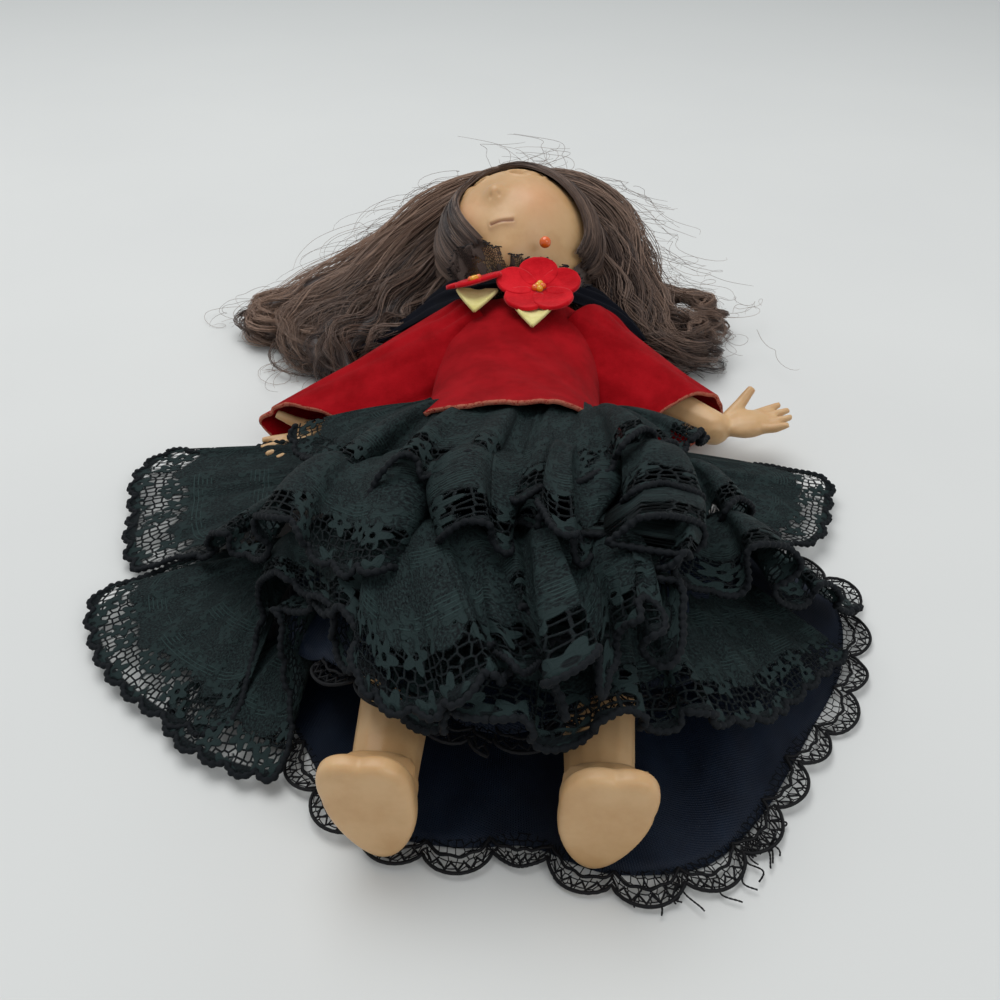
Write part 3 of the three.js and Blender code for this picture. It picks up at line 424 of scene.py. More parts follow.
# %% A node tree for cords
def cord_tree():
    """A line of edges becomes a cord whose thickness beads along its length."""
    group, given, line = line_tree("beaded_cord", {
        "Radius": 0.0005, "Bead Pitch": 0.0012, "Bead Depth": 0.35, "Step": 0.0003})
    run = add_node(group, "GeometryNodeSplineParameter").outputs["Length"]
    turn = calc(group, "DIVIDE", calc(group, "MULTIPLY", run, math.pi), given["Bead Pitch"])
    bead = calc(group, "ABSOLUTE", calc(group, "SINE", turn))
    plain = calc(group, "SUBTRACT", 1.0, given["Bead Depth"])
    scale = calc(group, "MULTIPLY_ADD", bead, given["Bead Depth"], plain)
    return tube_out(group, given, 6, given["Radius"], Curve=line, Scale=scale, Fill_Caps=True)


CORD_TREE = cord_tree()
print("cord tree:", len(CORD_TREE.nodes), "nodes")

# %% Pieces made along lines
def store(obj, key, values):
    """One number for each point of the mesh, to be read by a material."""
    layer = obj.data.attributes.new(key, "FLOAT", "POINT")
    layer.data.foreach_set("value", np.asarray(values, np.float32).ravel())


def line_piece(name, lines, tree, inputs, shades=None):
    """One mesh that a tree makes along lines of points in millimetres. A line may have its own shade."""
    edges, start = [], 0
    for line in lines:
        edges += [(start + k, start + k + 1) for k in range(len(line) - 1)]
        start += len(line)
    mesh = bpy.data.meshes.new(name)
    mesh.from_pydata((np.concatenate(lines) * MM).tolist(), edges, [])
    obj = bpy.data.objects.new(name, mesh)
    bpy.context.collection.objects.link(obj)
    if shades is not None:
        store(obj, "shade", np.repeat(shades, [len(line) for line in lines]))
    modifier = obj.modifiers.new("lines", "NODES")
    modifier.node_group = tree
    for item in tree.interface.items_tree:
        if item.item_type == "SOCKET" and item.in_out == "INPUT" and item.name in inputs:
            modifier[item.identifier] = inputs[item.name]
    return bake_modifiers(obj)


def cord_piece(name, lines, radius, material, pitch, depth, step=0.35):
    """One mesh of cords. Radius, the beads' pitch and the step are in millimetres."""
    return line_piece(name, lines, CORD_TREE, {
        "Radius": radius * MM, "Bead Pitch": pitch * MM, "Bead Depth": depth, "Step": step * MM,
        "Material": material})

# %% [markdown]
# ## The ruffles
# Four strips of lace are gathered on to the underskirt, one below the other. A ruffle is a surface between
# a short gathered line and a long hem. The hem's line was drawn first, from where it lies in the
# photograph, and the folds were added to it: near the middle of the lap they are so deep that the cloth
# doubles back on itself and makes tubes, and where the cloth lies on the floor they are almost flat.
# Each ruffle is cut at the middle, into the two halves that lie over the two legs.

# %% Ruffle surfaces
SCALLOP = 6.0
SCALLOP_DEPTH = 1.7
LACE_THICK = 0.22
COLUMN_STEP = 0.62
ROWS = 22
CURL = 0.7


def ruffle_grid(hem, gather, bulge, fold, folds, seed):
    """Grid of points (columns, rows, 3) with its UV pairs, and the length of its hem and its depth."""
    at, length = even_places(hem, 50)
    columns = int(length / COLUMN_STEP)
    at, length = even_places(hem, columns)
    run = np.linspace(0, 1, columns)
    low, high = spline(hem, at), spline(gather, at)
    along = unit(np.gradient(low, axis=0))
    fall = unit(low - high)
    out = unit(np.cross(along, fall))
    out *= np.where(out[:, 2:3] < 0, -1, 1)
    raised = np.clip((low[:, 2] - 4) / 22, 0.08, 1)
    amount = fold * raised * np.clip(1.0 + 0.8 * ripple(run * 8, seed), 0.15, 2.2)
    phase = 2 * math.pi * folds * run + 3.2 * ripple(run * 5, seed + 1)
    small = ripple(run * folds * 5, seed + 2)
    depth = float(np.median(np.linalg.norm(low - high, axis=1)))
    grid = np.zeros((columns, ROWS, 3))
    uv = np.zeros((columns, ROWS, 2))
    trim = SCALLOP_DEPTH * (1 - np.abs(np.sin(math.pi * run * length / SCALLOP)) ** 0.7) / depth
    for j in range(ROWS):
        v = (j / (ROWS - 1)) ** 0.85
        v_here = v * (1 - trim * smooth_step(0.75, 1.0, v))
        share = v_here[:, None]
        point = high * (1 - share) + low * share
        swell = bulge * np.sin(math.pi * np.clip(v_here, 0, 1) ** 0.8)[:, None]
        wave = (amount * v_here ** 0.75 * (np.sin(phase) + 0.35))[:, None]
        back = (amount * CURL * v_here ** 1.2 * np.sin(2 * phase))[:, None]
        crease = (0.7 * (1 - v_here) * small + 0.2 * small * v_here)[:, None]
        point = point + out * (swell * raised[:, None] + wave + crease) - along * back
        point[:, 2] = np.maximum(point[:, 2], 0.35 + 0.2 * (1 - v))
        grid[:, j] = point
        uv[:, j, 0] = run * length
        uv[:, j, 1] = depth * (1 - v_here)
    return grid, uv, length, depth


def cloth_from_grid(name, grid, uv, material, thickness):
    columns, rows = grid.shape[:2]
    cloth = mesh_piece(name, grid.reshape(-1, 3), grid_faces(columns, rows), material, uv.reshape(-1, 2))
    return thicken(cloth, thickness)

# %% The lines of the four ruffles
# Each ruffle: its hem and its gathered line, point by point from the doll's right to its left
RUFFLES = {
    "ruffle_4": dict(
        hem=[(-60, -70, 3), (-58, -80, 3), (-48, -86, 3), (-37, -88, 3), (-36, -78, 7), (-40, -66, 19),
             (-31, -70, 25), (-25, -80, 24), (-17, -88, 25), (-8, -95, 26), (4, -97, 26), (14, -94, 25),
             (25, -90, 23), (36, -84, 18), (45, -78, 11), (53, -69, 8), (60, -60, 5), (66, -53, 3)],
        gather=[(-40, -54, 4), (-39, -53, 6), (-37, -52, 9), (-31, -51, 15), (-24, -52, 20), (-16, -56, 23),
                (-6, -60, 24), (6, -60, 24), (16, -57, 24), (23, -54, 22), (31, -50, 18), (40, -46, 13),
                (49, -40, 8)],
        bulge=2.0, fold=2.2, folds=11, seed=4),
    "ruffle_3": dict(
        hem=[(-64, -31, 3), (-76, -39, 3), (-84, -46, 3), (-82, -56, 3), (-72, -69, 3), (-56, -79, 3),
             (-47, -77, 4), (-46, -62, 8), (-43, -58, 17), (-34, -66, 26), (-26, -77, 29),
             (-23, -85, 28), (-19, -91, 28),
             (-12, -95, 29), (-5, -96, 31), (1, -93, 33), (3, -86, 33), (1, -79, 30), (5, -77, 29),
             (7, -86, 31), (10, -95, 33), (15, -94, 34), (18, -86, 34), (19, -79, 32), (22, -82, 31),
             (25, -83, 33), (26, -75, 36), (24, -66, 36), (28, -62, 33), (38, -59, 27), (50, -54, 20),
             (60, -49, 13), (67, -45, 7), (71, -40, 3)],
        gather=[(-40, -27, 7), (-45, -35, 7), (-45, -42, 9), (-41, -43, 14), (-34, -40, 21), (-24, -42, 27),
                (-16, -46, 28), (-8, -48, 28), (0, -46, 28), (8, -48, 28), (16, -46, 28), (24, -42, 27),
                (33, -36, 22), (41, -30, 13), (47, -22, 6)],
        bulge=4.8, fold=3.8, folds=15, seed=9),
    "ruffle_2": dict(
        hem=[(-52, 2, 9), (-71, 2, 6), (-86, 4, 4), (-91, -3, 3), (-87, -20, 3), (-80, -37, 3),
             (-65, -38, 8), (-54, -47, 18), (-43, -55, 26), (-33, -63, 32), (-25, -70, 34), (-20, -70, 33),
             (-18, -62, 29), (-12, -58, 27), (-8, -60, 31), (-5, -66, 36), (1, -64, 38), (3, -57, 36),
             (7, -61, 34), (11, -67, 36), (16, -62, 37), (17, -55, 34), (22, -54, 34), (33, -48, 29),
             (44, -36, 19), (55, -26, 8), (66, -20, 4), (71, -8, 3), (73, 3, 4), (63, 5, 5), (46, 1, 9)],
        gather=[(-24, -3, 17), (-34, -5, 13), (-37, -12, 12), (-34, -20, 17), (-29, -24, 23), (-23, -26, 28),
                (-15, -28, 30), (-6, -28, 30), (6, -28, 30), (15, -27, 30), (23, -24, 28), (29, -20, 22),
                (34, -14, 14), (34, -6, 13), (24, -3, 17)],
        bulge=5.4, fold=3.9, folds=15, seed=15),
    "ruffle_1": dict(
        hem=[(-50, -8, 21), (-49, -14, 20), (-41, -25, 21), (-31, -39, 26), (-22, -52, 31), (-18, -50, 35),
             (-14, -45, 38), (-8, -44, 39), (-4, -50, 37), (2, -55, 36), (8, -52, 38), (13, -47, 38),
             (19, -41, 36), (28, -29, 31), (37, -16, 25), (42, -4, 20)],
        gather=[(-21, -7, 28), (-19.5, -8.4, 29), (-16, -9.4, 30), (-12, -10, 30.4), (-6, -10, 30.6),
                (0, -10, 30.6), (6, -10, 30.6), (12, -10, 30.2), (16, -9, 29.6), (19.5, -7, 28),
                (21, -4.5, 26)],
        bulge=1.4, fold=2.9, folds=9, seed=21),
}

# %% Make the ruffles and their cords
LEG_BLEND = {"left": ((29, -8), (14.8, -20.1)), "right": ((-29, -8), (-14.8, -20.1))}


def follow_leg(piece, side):
    """The piece's transform is baked into its mesh. The blend points for its side are read, but not used."""
    (x0, y0), (x1, y1) = LEG_BLEND[side]
    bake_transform(piece)


def make_ruffle(name, spec):
    grid, uv, length, depth = ruffle_grid(**spec)
    level = spline(spec["hem"], even_places(spec["hem"], len(grid))[0])[:, 0]
    middle = int(np.argmin(np.abs(level)))
    print(name, "hem", round(length), "mm, depth", round(depth), "mm, columns", len(grid))
    for side, part in (("right", slice(0, middle + 1)), ("left", slice(middle, None))):
        half = cloth_from_grid(f"{name}_{side}", grid[part], uv[part], RUFFLE_LACE, LACE_THICK)
        cord = cord_piece(f"{name}_{side}_cord", [grid[part][:, -1]], 0.72, GIMP_CORD, 1.5, 0.5)
        widths = [float(np.linalg.norm(np.diff(grid[part][:, j], axis=0), axis=1).sum()) for j in (-1, 0)]
        steps = np.linalg.norm(np.diff(grid[part], axis=1), axis=2).sum(axis=1)
        print(" ", side, "hem and gathers", [round(w) for w in widths], "mm, depth", round(steps.mean()))
        yield side, half, cord, widths, float(steps.mean())


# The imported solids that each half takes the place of
TIER_NODES = {
    "ruffle_1": {"left": ["tier_1_front"]},
    "ruffle_2": {"left": ["tier_2_front", "tier_2_left"], "right": ["tier_2_right"]},
    "ruffle_3": {"left": ["tier_3_front", "tier_3_left"], "right": ["tier_3_right"]},
    "ruffle_4": {"left": ["tier_4_front"], "right": ["tier_4_right"]},
}
for name, spec in RUFFLES.items():
    for side, half, cord, (width, gathered), depth in make_ruffle(name, spec):
        nodes = TIER_NODES[name].get(side)
        if nodes:
            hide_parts(*nodes)
        if name == "ruffle_1":
            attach(half, "body")
            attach(cord, "body")
        else:
            follow_leg(half, side)
            follow_leg(cord, side)

# %% [markdown]
# ## The underskirt
# Under the lace lies dark satin in two panels: one flat on the floor, one over the legs. Satin shows broad
# soft highlights and a fine twill, so its material has a low-contrast weave bump, a middling roughness, and
# paler patches painted into its colour as sheen.

# %% Satin
def weave_group():
    """A shader group: fine crossed threads on the UV map, in millimetres, with slow unevenness, whose patches
    also go out as painted sheen for the colour.
    """
    group, given, out = shader_group(
        "fine_weave", {"Thread Pitch": 0.45, "Unevenness": 0.5}, ("Height", "Sheen Patches"))
    place = coordinates(group, "UV")
    apart = add_node(group, "ShaderNodeSeparateXYZ", {0: place})
    turn = calc(group, "DIVIDE", 2 * math.pi, given["Thread Pitch"])
    warp = calc(group, "SINE", calc(group, "MULTIPLY", apart.outputs["X"], turn))
    slant = calc(group, "ADD", apart.outputs["Y"], calc(group, "MULTIPLY", apart.outputs["X"], 0.5))
    weft = calc(group, "SINE", calc(group, "MULTIPLY", slant, turn))
    slow = clouds(group, place, 0.18, 3.0)
    threads = calc(group, "MULTIPLY", calc(group, "ADD", warp, weft), 0.5)
    uneven = calc(group, "MULTIPLY", slow, given["Unevenness"])
    group.links.new(calc(group, "ADD", threads, uneven), out["Height"])
    # Painted sheen: the slow patches make the colour paler in places, standing in for the satin's broad
    # highlights.
    group.links.new(slow, out["Sheen Patches"])
    return group


WEAVE_GROUP = weave_group()
print("weave:", len(WEAVE_GROUP.nodes), "nodes")


def woven_material(name, dark, light, roughness, pitch, strength, specular):
    material, tree, shader = new_material(name)
    weave = add_node(tree, "ShaderNodeGroup", {"Thread Pitch": pitch}, node_tree=WEAVE_GROUP).outputs
    # The paler colour in the patches is painted sheen.
    dress(tree, shader, mix(tree, weave["Sheen Patches"], dark, light),
          {"Roughness": roughness, "Specular IOR Level": specular}, (weave["Height"], strength, 0.00015))
    return material


SATIN = woven_material("underskirt_satin", srgb(10, 17, 29), srgb(27, 39, 56), 0.5, 0.45, 0.5, 0.22)

# %% The panel on the floor
BACK_HEM = [
    (-48, -20), (-54, -42), (-47, -62), (-34, -79), (-24, -93), (-8, -97.5), (6, -97), (20, -100.5),
    (34, -98.5), (45, -88), (56, -70), (65, -53), (66, -34), (50, -14),
]
SATIN_THICK = 0.4
BACK_COLUMNS, BACK_ROWS, BACK_DEPTH = 280, 40, 92
back_places, back_length = even_places([(x, y, 0) for x, y in BACK_HEM], BACK_COLUMNS)
back_hem = spline([(x, y, 0) for x, y in BACK_HEM], back_places)
back_waist = np.linspace((-19, -3.4, 0), (19, -3.4, 0), BACK_COLUMNS)
run = np.linspace(0, 1, BACK_COLUMNS)
grid = np.zeros((BACK_COLUMNS, BACK_ROWS, 3))
uv = np.zeros((BACK_COLUMNS, BACK_ROWS, 2))
for j in range(BACK_ROWS):
    v = j / (BACK_ROWS - 1)
    grid[:, j] = back_waist * (1 - v) + back_hem * v
    folds = 0.9 * (1 + np.sin(2 * math.pi * 9 * run + 2.5 * ripple(run * 6 + v, 31)))
    folds *= v ** 1.5 * (1 - 0.6 * smooth_step(0.8, 1, v))
    grid[:, j, 2] = 0.45 + folds + 0.5 * ripple(run * 24 + v * 7, 33)
    uv[:, j] = np.stack([run * back_length, np.full(BACK_COLUMNS, BACK_DEPTH * (1 - v))], axis=1)
underskirt_back = cloth_from_grid("underskirt_floor_panel", grid, uv, SATIN, SATIN_THICK)
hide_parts("underskirt_back")
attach(underskirt_back, "body")
back_edge = grid[:, -1].copy()
back_sides = {"right": grid[0].copy(), "left": grid[-1].copy()}

# %% The panel over the legs
FRONT_HEM = [
    (-43, -52, 5), (-40, -60, 8), (-36, -68, 12), (-29, -75, 18), (-22, -79.5, 20.5), (-15, -82.5, 20.5),
    (-9, -84.5, 19.5), (-4, -87, 18), (3, -88, 17.4), (9, -86, 18.5), (15, -82.5, 20.5), (22, -80, 20.5),
    (29, -76, 17), (36, -69, 12), (41, -60, 8), (43, -50, 5),
]
FRONT_WAIST = [
    (-19, -3.6, 17), (-19.2, -3.8, 18), (-19, -4, 20), (-18, -4, 22.5), (-16, -4, 25), (-12, -4, 27.5),
    (-8, -4, 28.8), (-3, -4, 29.4), (3, -4, 29.4), (8, -4, 28.8), (12, -4, 27.5), (15, -4, 25.5),
    (17.5, -4, 23), (19, -4, 20), (19.2, -3.8, 18), (19, -3.6, 17),
]


LAP_DEPTH = 85


def body_top(y):
    """How high the cloth lies over the doll's middle."""
    return np.interp(y, [-90, -22, 0], [17.4, 28.0, 29.2])


def lap_grid(hem, waist, rows):
    """Cloth from the waist over the legs, filled out so that it stays above them."""
    at, length = even_places(hem, int(even_places(hem, 9)[1] / 0.9))
    low, high = spline(hem, at), spline(waist, at)
    columns = len(at)
    run = np.linspace(0, 1, columns)
    grid = np.zeros((columns, rows, 3))
    uv = np.zeros((columns, rows, 2))
    for j in range(rows):
        v = j / (rows - 1)
        point = high * (1 - v) + low * v
        over = 1 - smooth_step(24, 60, np.abs(point[:, 0]))
        floor_z = over * (body_top(point[:, 1]) + 0.2) + (1 - over) * 2.4
        full = np.sin(math.pi * v) ** 0.5
        point[:, 2] = point[:, 2] * (1 - full) + np.maximum(point[:, 2], floor_z) * full
        point[:, 2] += 0.35 * np.sin(2 * math.pi * 10 * run + 2 * ripple(run * 7, 41)) * v
        grid[:, j] = point
        uv[:, j] = np.stack([run * length, np.full(columns, LAP_DEPTH * (1 - v))], axis=1)
    return grid, uv, length


grid, uv, front_length = lap_grid(FRONT_HEM, FRONT_WAIST, 50)
middle = int(np.argmin(np.abs(grid[:, -1, 0])))
front_edge = grid[:, -1].copy()
underskirt_front = {}
for side, part in (("right", slice(0, middle + 1)), ("left", slice(middle, None))):
    half = cloth_from_grid(f"underskirt_lap_{side}", grid[part], uv[part], SATIN, SATIN_THICK)
    if side == "left":
        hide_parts("underskirt_front")
    follow_leg(half, side)
    underskirt_front[side] = half
print("underskirt hems", round(back_length), round(front_length), "mm")

# %% [markdown]
# A skirt is a tube, so the lap and the floor panel have to meet at the doll's sides. A narrow piece on
# each side runs from the edge of the one to the edge of the other, and swells out a little between them.

# %% Cloth that closes the sides
for side, s, upper in (("right", -1, grid[0]), ("left", 1, grid[-1])):
    lower = spline(back_sides[side], np.linspace(0, 1, len(upper)))
    share, down = np.linspace(0, 1, len(upper)), np.linspace(0, 1, 18)
    seam = np.stack([upper * (1 - w) + lower * w for w in down])
    seam[..., 0] += s * 1.5 * np.outer(np.sin(math.pi * down), np.sin(math.pi * share))
    seam[..., 2] = np.maximum(seam[..., 2], 0.5)
    wide = float(np.linalg.norm(np.diff(seam, axis=0), axis=2).sum(axis=0).max())
    tall = float(np.linalg.norm(np.diff(seam, axis=1), axis=2).sum(axis=1).max())
    uv = np.stack(np.meshgrid(down * wide, (1 - share) * tall, indexing="ij"), axis=-1)
    gusset = cloth_from_grid(f"underskirt_side_{side}", seam, uv, SATIN, SATIN_THICK)
    follow_leg(gusset, side)
    print("side", side, round(wide), "by", round(tall), "mm")

# %% [markdown]
# ## The looped trim
# Both hems of the underskirt end in a narrow trim: a strip of net, a row of small U-shaped loops, and thin
# cords that run in scallops on both sides of them. A Geometry Nodes tree draws each line from the hem:
# it steps along the hem and moves each step outwards by a wave, and back and forth by another, which is
# what turns a zigzag into round loops.

# %% A node tree for looped trim
def trim_tree():
    """A line of edges becomes a thin cord that runs in waves, loops or scallops beside it."""
    group, given, line = line_tree("looped_trim", {
        "Offset": 0.004, "Pitch": 0.0019, "Height": 0.0012, "Lean": 0.0003, "Scallop Pitch": 0.0095,
        "Scallop Depth": 0.002, "Radius": 0.00025, "Step": 0.00018})
    run = add_node(group, "GeometryNodeSplineParameter").outputs["Length"]
    tangent = add_node(group, "GeometryNodeInputTangent").outputs[0]
    outward = add_node(group, "ShaderNodeVectorMath", {0: tangent, 1: (0, 0, 1)}, operation="CROSS_PRODUCT")
    outward = add_node(group, "ShaderNodeVectorMath", {0: outward.outputs[0]}, operation="NORMALIZE")
    turn = calc(group, "DIVIDE", calc(group, "MULTIPLY", run, 2 * math.pi), given["Pitch"])
    wave = calc(group, "MULTIPLY", calc(group, "SINE", turn), given["Height"])
    lean = calc(group, "MULTIPLY", calc(group, "SINE", calc(group, "MULTIPLY", turn, 2.0)), given["Lean"])
    arch = calc(group, "DIVIDE", calc(group, "MULTIPLY", run, math.pi), given["Scallop Pitch"])
    arch = calc(group, "POWER", calc(group, "ABSOLUTE", calc(group, "SINE", arch)), 0.6)
    reach = calc(group, "ADD", given["Offset"], wave)
    reach = calc(group, "ADD", reach, calc(group, "MULTIPLY", arch, given["Scallop Depth"]))
    across = add_node(group, "ShaderNodeVectorMath", {0: outward.outputs[0]}, operation="SCALE")
    group.links.new(reach, across.inputs["Scale"])
    on = add_node(group, "ShaderNodeVectorMath", {0: tangent}, operation="SCALE")
    group.links.new(lean, on.inputs["Scale"])
    move = add_node(group, "ShaderNodeVectorMath", {0: across.outputs[0], 1: on.outputs[0]}, operation="ADD")
    kept = add_node(group, "GeometryNodeCaptureAttribute", {"Geometry": line})
    kept.capture_items.new("VECTOR", "move")
    group.links.new(move.outputs[0], kept.inputs["move"])
    placed = add_node(group, "GeometryNodeSetPosition", {
        "Geometry": kept.outputs["Geometry"], "Offset": kept.outputs["move"]})
    return tube_out(group, given, 5, given["Radius"], Curve=placed.outputs[0], Fill_Caps=True)


TRIM_TREE = trim_tree()
print("trim tree:", len(TRIM_TREE.nodes), "nodes")

# %% The lines and the net of the trim
TRIM_CORD = thread_material("trim_cord", srgb(14, 15, 19), 0.65)
TRIM_PITCH, TRIM_REACH = 10.4, 3.4
# Each line of the trim: its sizes in millimetres, in this order
TRIM_SIZES = ("Offset", "Pitch", "Height", "Lean", "Scallop Depth", "Radius")
TRIM_LINES = {
    "scallop": (2.1, 9.5, 0.0, 0.0, 3.4, 0.32),
    "loops": (1.1, 1.8, 0.9, 0.24, 3.2, 0.18),
    "inner": (-0.2, 3.1, 0.2, 0.0, 2.7, 0.28),
}


def trim_line(name, line, sizes, material=TRIM_CORD):
    """One line of the trim as a mesh, drawn outside the line of points."""
    inputs = {key: size * MM for key, size in zip(TRIM_SIZES, sizes)}
    return line_piece(name, [line], TRIM_TREE, {
        "Scallop Pitch": TRIM_PITCH * MM, "Material": material, **inputs})


def outwards(line):
    """Level directions at right angles to a line."""
    return unit(np.cross(unit(np.gradient(line, axis=0)), (0, 0, 1)))


def trim_net(name, line):
    """The strip of net inside the cords, with its outer edge in scallops."""
    run = np.concatenate([[0], np.cumsum(np.linalg.norm(np.diff(line, axis=0), axis=1))])
    reach = 2.0 + TRIM_REACH * np.abs(np.sin(math.pi * run / TRIM_PITCH)) ** 0.6
    rows = np.linspace(-0.1, 1, 7)
    grid = np.stack([line + outwards(line) * (reach * v)[:, None] for v in rows], axis=1)
    uv = np.stack([np.stack([run, 3 + reach * (1 - v)], axis=1) for v in rows], axis=1)
    return cloth_from_grid(name, grid, uv, TRIM_NET, 0.15)


def trim(name, line):
    """The whole trim along a hem. It was sewn by hand, so it wanders in and out a little."""
    places = np.arange(len(line)) * 0.055
    line = line + outwards(line) * (1.1 * ripple(places, 51) - 0.5)[:, None]
    line[:, 2] += 0.4 * (1 + ripple(places * 2.3, 52))
    return [trim_net(f"{name}_net", line)] + [
        trim_line(f"{name}_{key}", line, sizes) for key, sizes in TRIM_LINES.items()]


# %% Trim on both hems
lifted = back_edge + np.array([0, 0, 0.35])
back_trim = trim("hem_trim_floor", lifted[28:268])
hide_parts("hem_trim_back")
for piece in back_trim:
    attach(piece, "body")

# %% [markdown]
# At one place the trim has come loose, and its threads lie on the floor in front of the hem. Each starts at
# the hem, runs outwards and bends its own way.

# %% Frayed threads
chance = np.random.default_rng(77)
frays = []
FRAY_FROM, FRAY_TO = 150, 182
for k in range(26):
    begin = back_edge[int(chance.uniform(FRAY_FROM, FRAY_TO))] + np.array([0, 0, 0.6])
    away = unit(np.array([chance.normal(0.5, 0.5), -1.0, 0.0])) * chance.uniform(3, 8.5)
    t = np.linspace(0, 1, 24)
    bend = 1.3 * t * np.sin(chance.uniform(3, 9) * t + chance.uniform(0, 6))
    frays.append(begin + t[:, None] * away + bend[:, None] * np.array([1.0, 0.4, 0.0]))
fray = cord_piece("hem_trim_frays", frays, 0.17, TRIM_CORD, 0.7, 0.3, 0.2)
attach(fray, "body")
back_trim.append(fray)

# %% Trim on the lap
front_trims = {}
front_from, front_to = [int(np.argmin(np.abs(front_edge[:, 0] - x))) for x in (-30, 30)]
for side, part in (("right", slice(front_from, middle + 1)), ("left", slice(middle, front_to))):
    front_trims[side] = trim(f"hem_trim_lap_{side}", front_edge[part])
    if side == "left":
        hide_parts("hem_trim_front")
    for piece in front_trims[side]:
        follow_leg(piece, side)
for side, half in underskirt_front.items():
    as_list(front_trims[side])

# %% [markdown]
# ## Vinyl skin
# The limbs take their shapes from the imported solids. Each is copied, remeshed finely and smoothed, which
# rounds the facets and lets fingers and toes flow into the hand and the foot. Vinyl lets a little light in,
# so the material has some subsurface scattering, faint blotches of colour and a very fine grain.

# %% Vinyl
def vinyl_group():
    """A shader group: soft blotches for the colour and a fine grain for the surface."""
    group, given, out = shader_group(
        "vinyl_surface", {"Blotches per Metre": 90.0, "Grain per Metre": 2600.0}, ("Blotch", "Height"))
    place = coordinates(group)
    blotch = clouds(group, place, given["Blotches per Metre"], 4.0, Roughness=0.6)
    grain = clouds(group, place, given["Grain per Metre"])
    dents = clouds(group, place, 420.0)
    group.links.new(band(group, blotch, 0.35, 0.68), out["Blotch"])
    group.links.new(calc(group, "MULTIPLY_ADD", dents, 2.0, grain), out["Height"])
    return group


VINYL_GROUP = vinyl_group()
print("vinyl surface:", len(VINYL_GROUP.nodes), "nodes")


def vinyl_material(name, light, deep, roughness=0.42, scatter=0.12):
    material, tree, shader = new_material(name)
    surface = add_node(tree, "ShaderNodeGroup", node_tree=VINYL_GROUP).outputs
    dress(tree, shader, mix(tree, surface["Blotch"], light, deep), {
        "Roughness": roughness, "Subsurface Weight": scatter, "Subsurface Radius": (1.0, 0.45, 0.25),
        "Subsurface Scale": 0.002}, (surface["Height"], 0.25, 0.00006))
    return material


SKIN_LIGHT, SKIN_DEEP = srgb(204, 167, 122), srgb(191, 151, 105)
SKIN = vinyl_material("vinyl_skin", SKIN_LIGHT, SKIN_DEEP)
HARD_PLASTIC = vinyl_material("body_plastic", srgb(222, 184, 148), srgb(212, 172, 136), 0.3, 0.03)


def refinish(piece, material):
    piece.data.materials.clear()
    piece.data.materials.append(material)


for node in ("torso_front", "torso_back"):
    refinish(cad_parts[node], HARD_PLASTIC)

# %% Limbs
VOXEL, SMOOTH_ROUNDS = 0.42, 7
SOLE_X, SOLE_Z = 17.6, 12.6


def node_points(node):
    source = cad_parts[node]
    return np.array([(source.matrix_world @ v.co)[:] for v in source.data.vertices]) / MM


def smooth_copy(node, name, material, shape, extra):
    """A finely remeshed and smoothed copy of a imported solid, moved by shape and joined with extra."""
    points = node_points(node)
    if shape:
        points = shape(points)
    faces = [p.vertices[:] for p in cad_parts[node].data.polygons]
    if extra:
        faces += [tuple(k + len(points) for k in face) for face in extra[1]]
        points = np.concatenate([points, extra[0]])
    obj = mesh_piece(name, points, faces, material)
    obj.modifiers.new("weld", "WELD").merge_threshold = 0.01 * MM
    remesh = obj.modifiers.new("remesh", "REMESH")
    remesh.mode = "VOXEL"
    remesh.voxel_size = VOXEL * MM
    remesh.use_smooth_shade = True
    smooth = obj.modifiers.new("smooth", "SMOOTH")
    smooth.factor = 0.6
    smooth.iterations = SMOOTH_ROUNDS
    bake_modifiers(obj)
    refinish(obj, material)
    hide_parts(node)
    return obj

# %% [markdown]
# The soles face the camera, so they have to be right: flat, egg-shaped, and a little fuller under the toes.
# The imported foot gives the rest, its toes pressed low. The remesh melts the sole and the foot into one.

# %% Toes and soles
def low_toes(points):
    """Toes as small bumps along the top of a sole that stands a little farther out."""
    out = points.copy()
    foot = smooth_step(-86, -93, points[:, 1])
    high = np.maximum(points[:, 2] - 15.5, 0)
    out[:, 2] -= foot * high * 0.78
    out[:, 1] += foot * 0.8 * smooth_step(0, 2, high)
    return out


def sole_plate(s, around=121):
    """A flat egg-shaped sole, broad at the toes, narrow at the heel, with two low swells under the toes."""
    turn = np.linspace(0, 2 * math.pi, around)
    toes = 0.14 * np.abs(np.sin(2.5 * (turn - math.radians(18))))
    toes *= np.abs(turn - math.pi / 2) < math.radians(72)
    rings = []
    for share, y in ((0, -101.3), (0.92, -101.2), (1, -100.4), (1, -98.4), (0.85, -97), (0, -97)):
        z = 12.4 + share * (11.0 + 11 * toes) * np.sin(turn)
        x = s * (SOLE_X + 0.1 * (z - SOLE_Z))
        x = x + share * (7.0 + 0.16 * (z - SOLE_Z)) * (1 + toes) * np.cos(turn)
        rings.append(np.stack([x, np.full(around, y), z], axis=1))
    return np.stack(rings, axis=1).reshape(-1, 3), grid_faces(around, len(rings))

# %% Make the limbs
for side, s in (("left", 1), ("right", -1)):
    for limb, shape, extra in (("leg", low_toes, sole_plate(s)), ("arm", None, None)):
        piece = smooth_copy(f"{limb}_{side}", f"{limb}_{side}_skin", SKIN, shape, extra)
        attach(piece, f"{limb}_{side}")
        print(piece.name, len(piece.data.polygons), "faces")

# %% [markdown]
# ## The head
# The head is one fine ball, pushed out for the nose, cheeks, chin and lips and in for the mouth and the
# two sockets that the eyeballs stand in. Each eyeball is a lidded one: most of it is painted as skin, the
# lid's edge is a lash line, and the iris lies below the front, hidden by the lower rim until the eyes open.

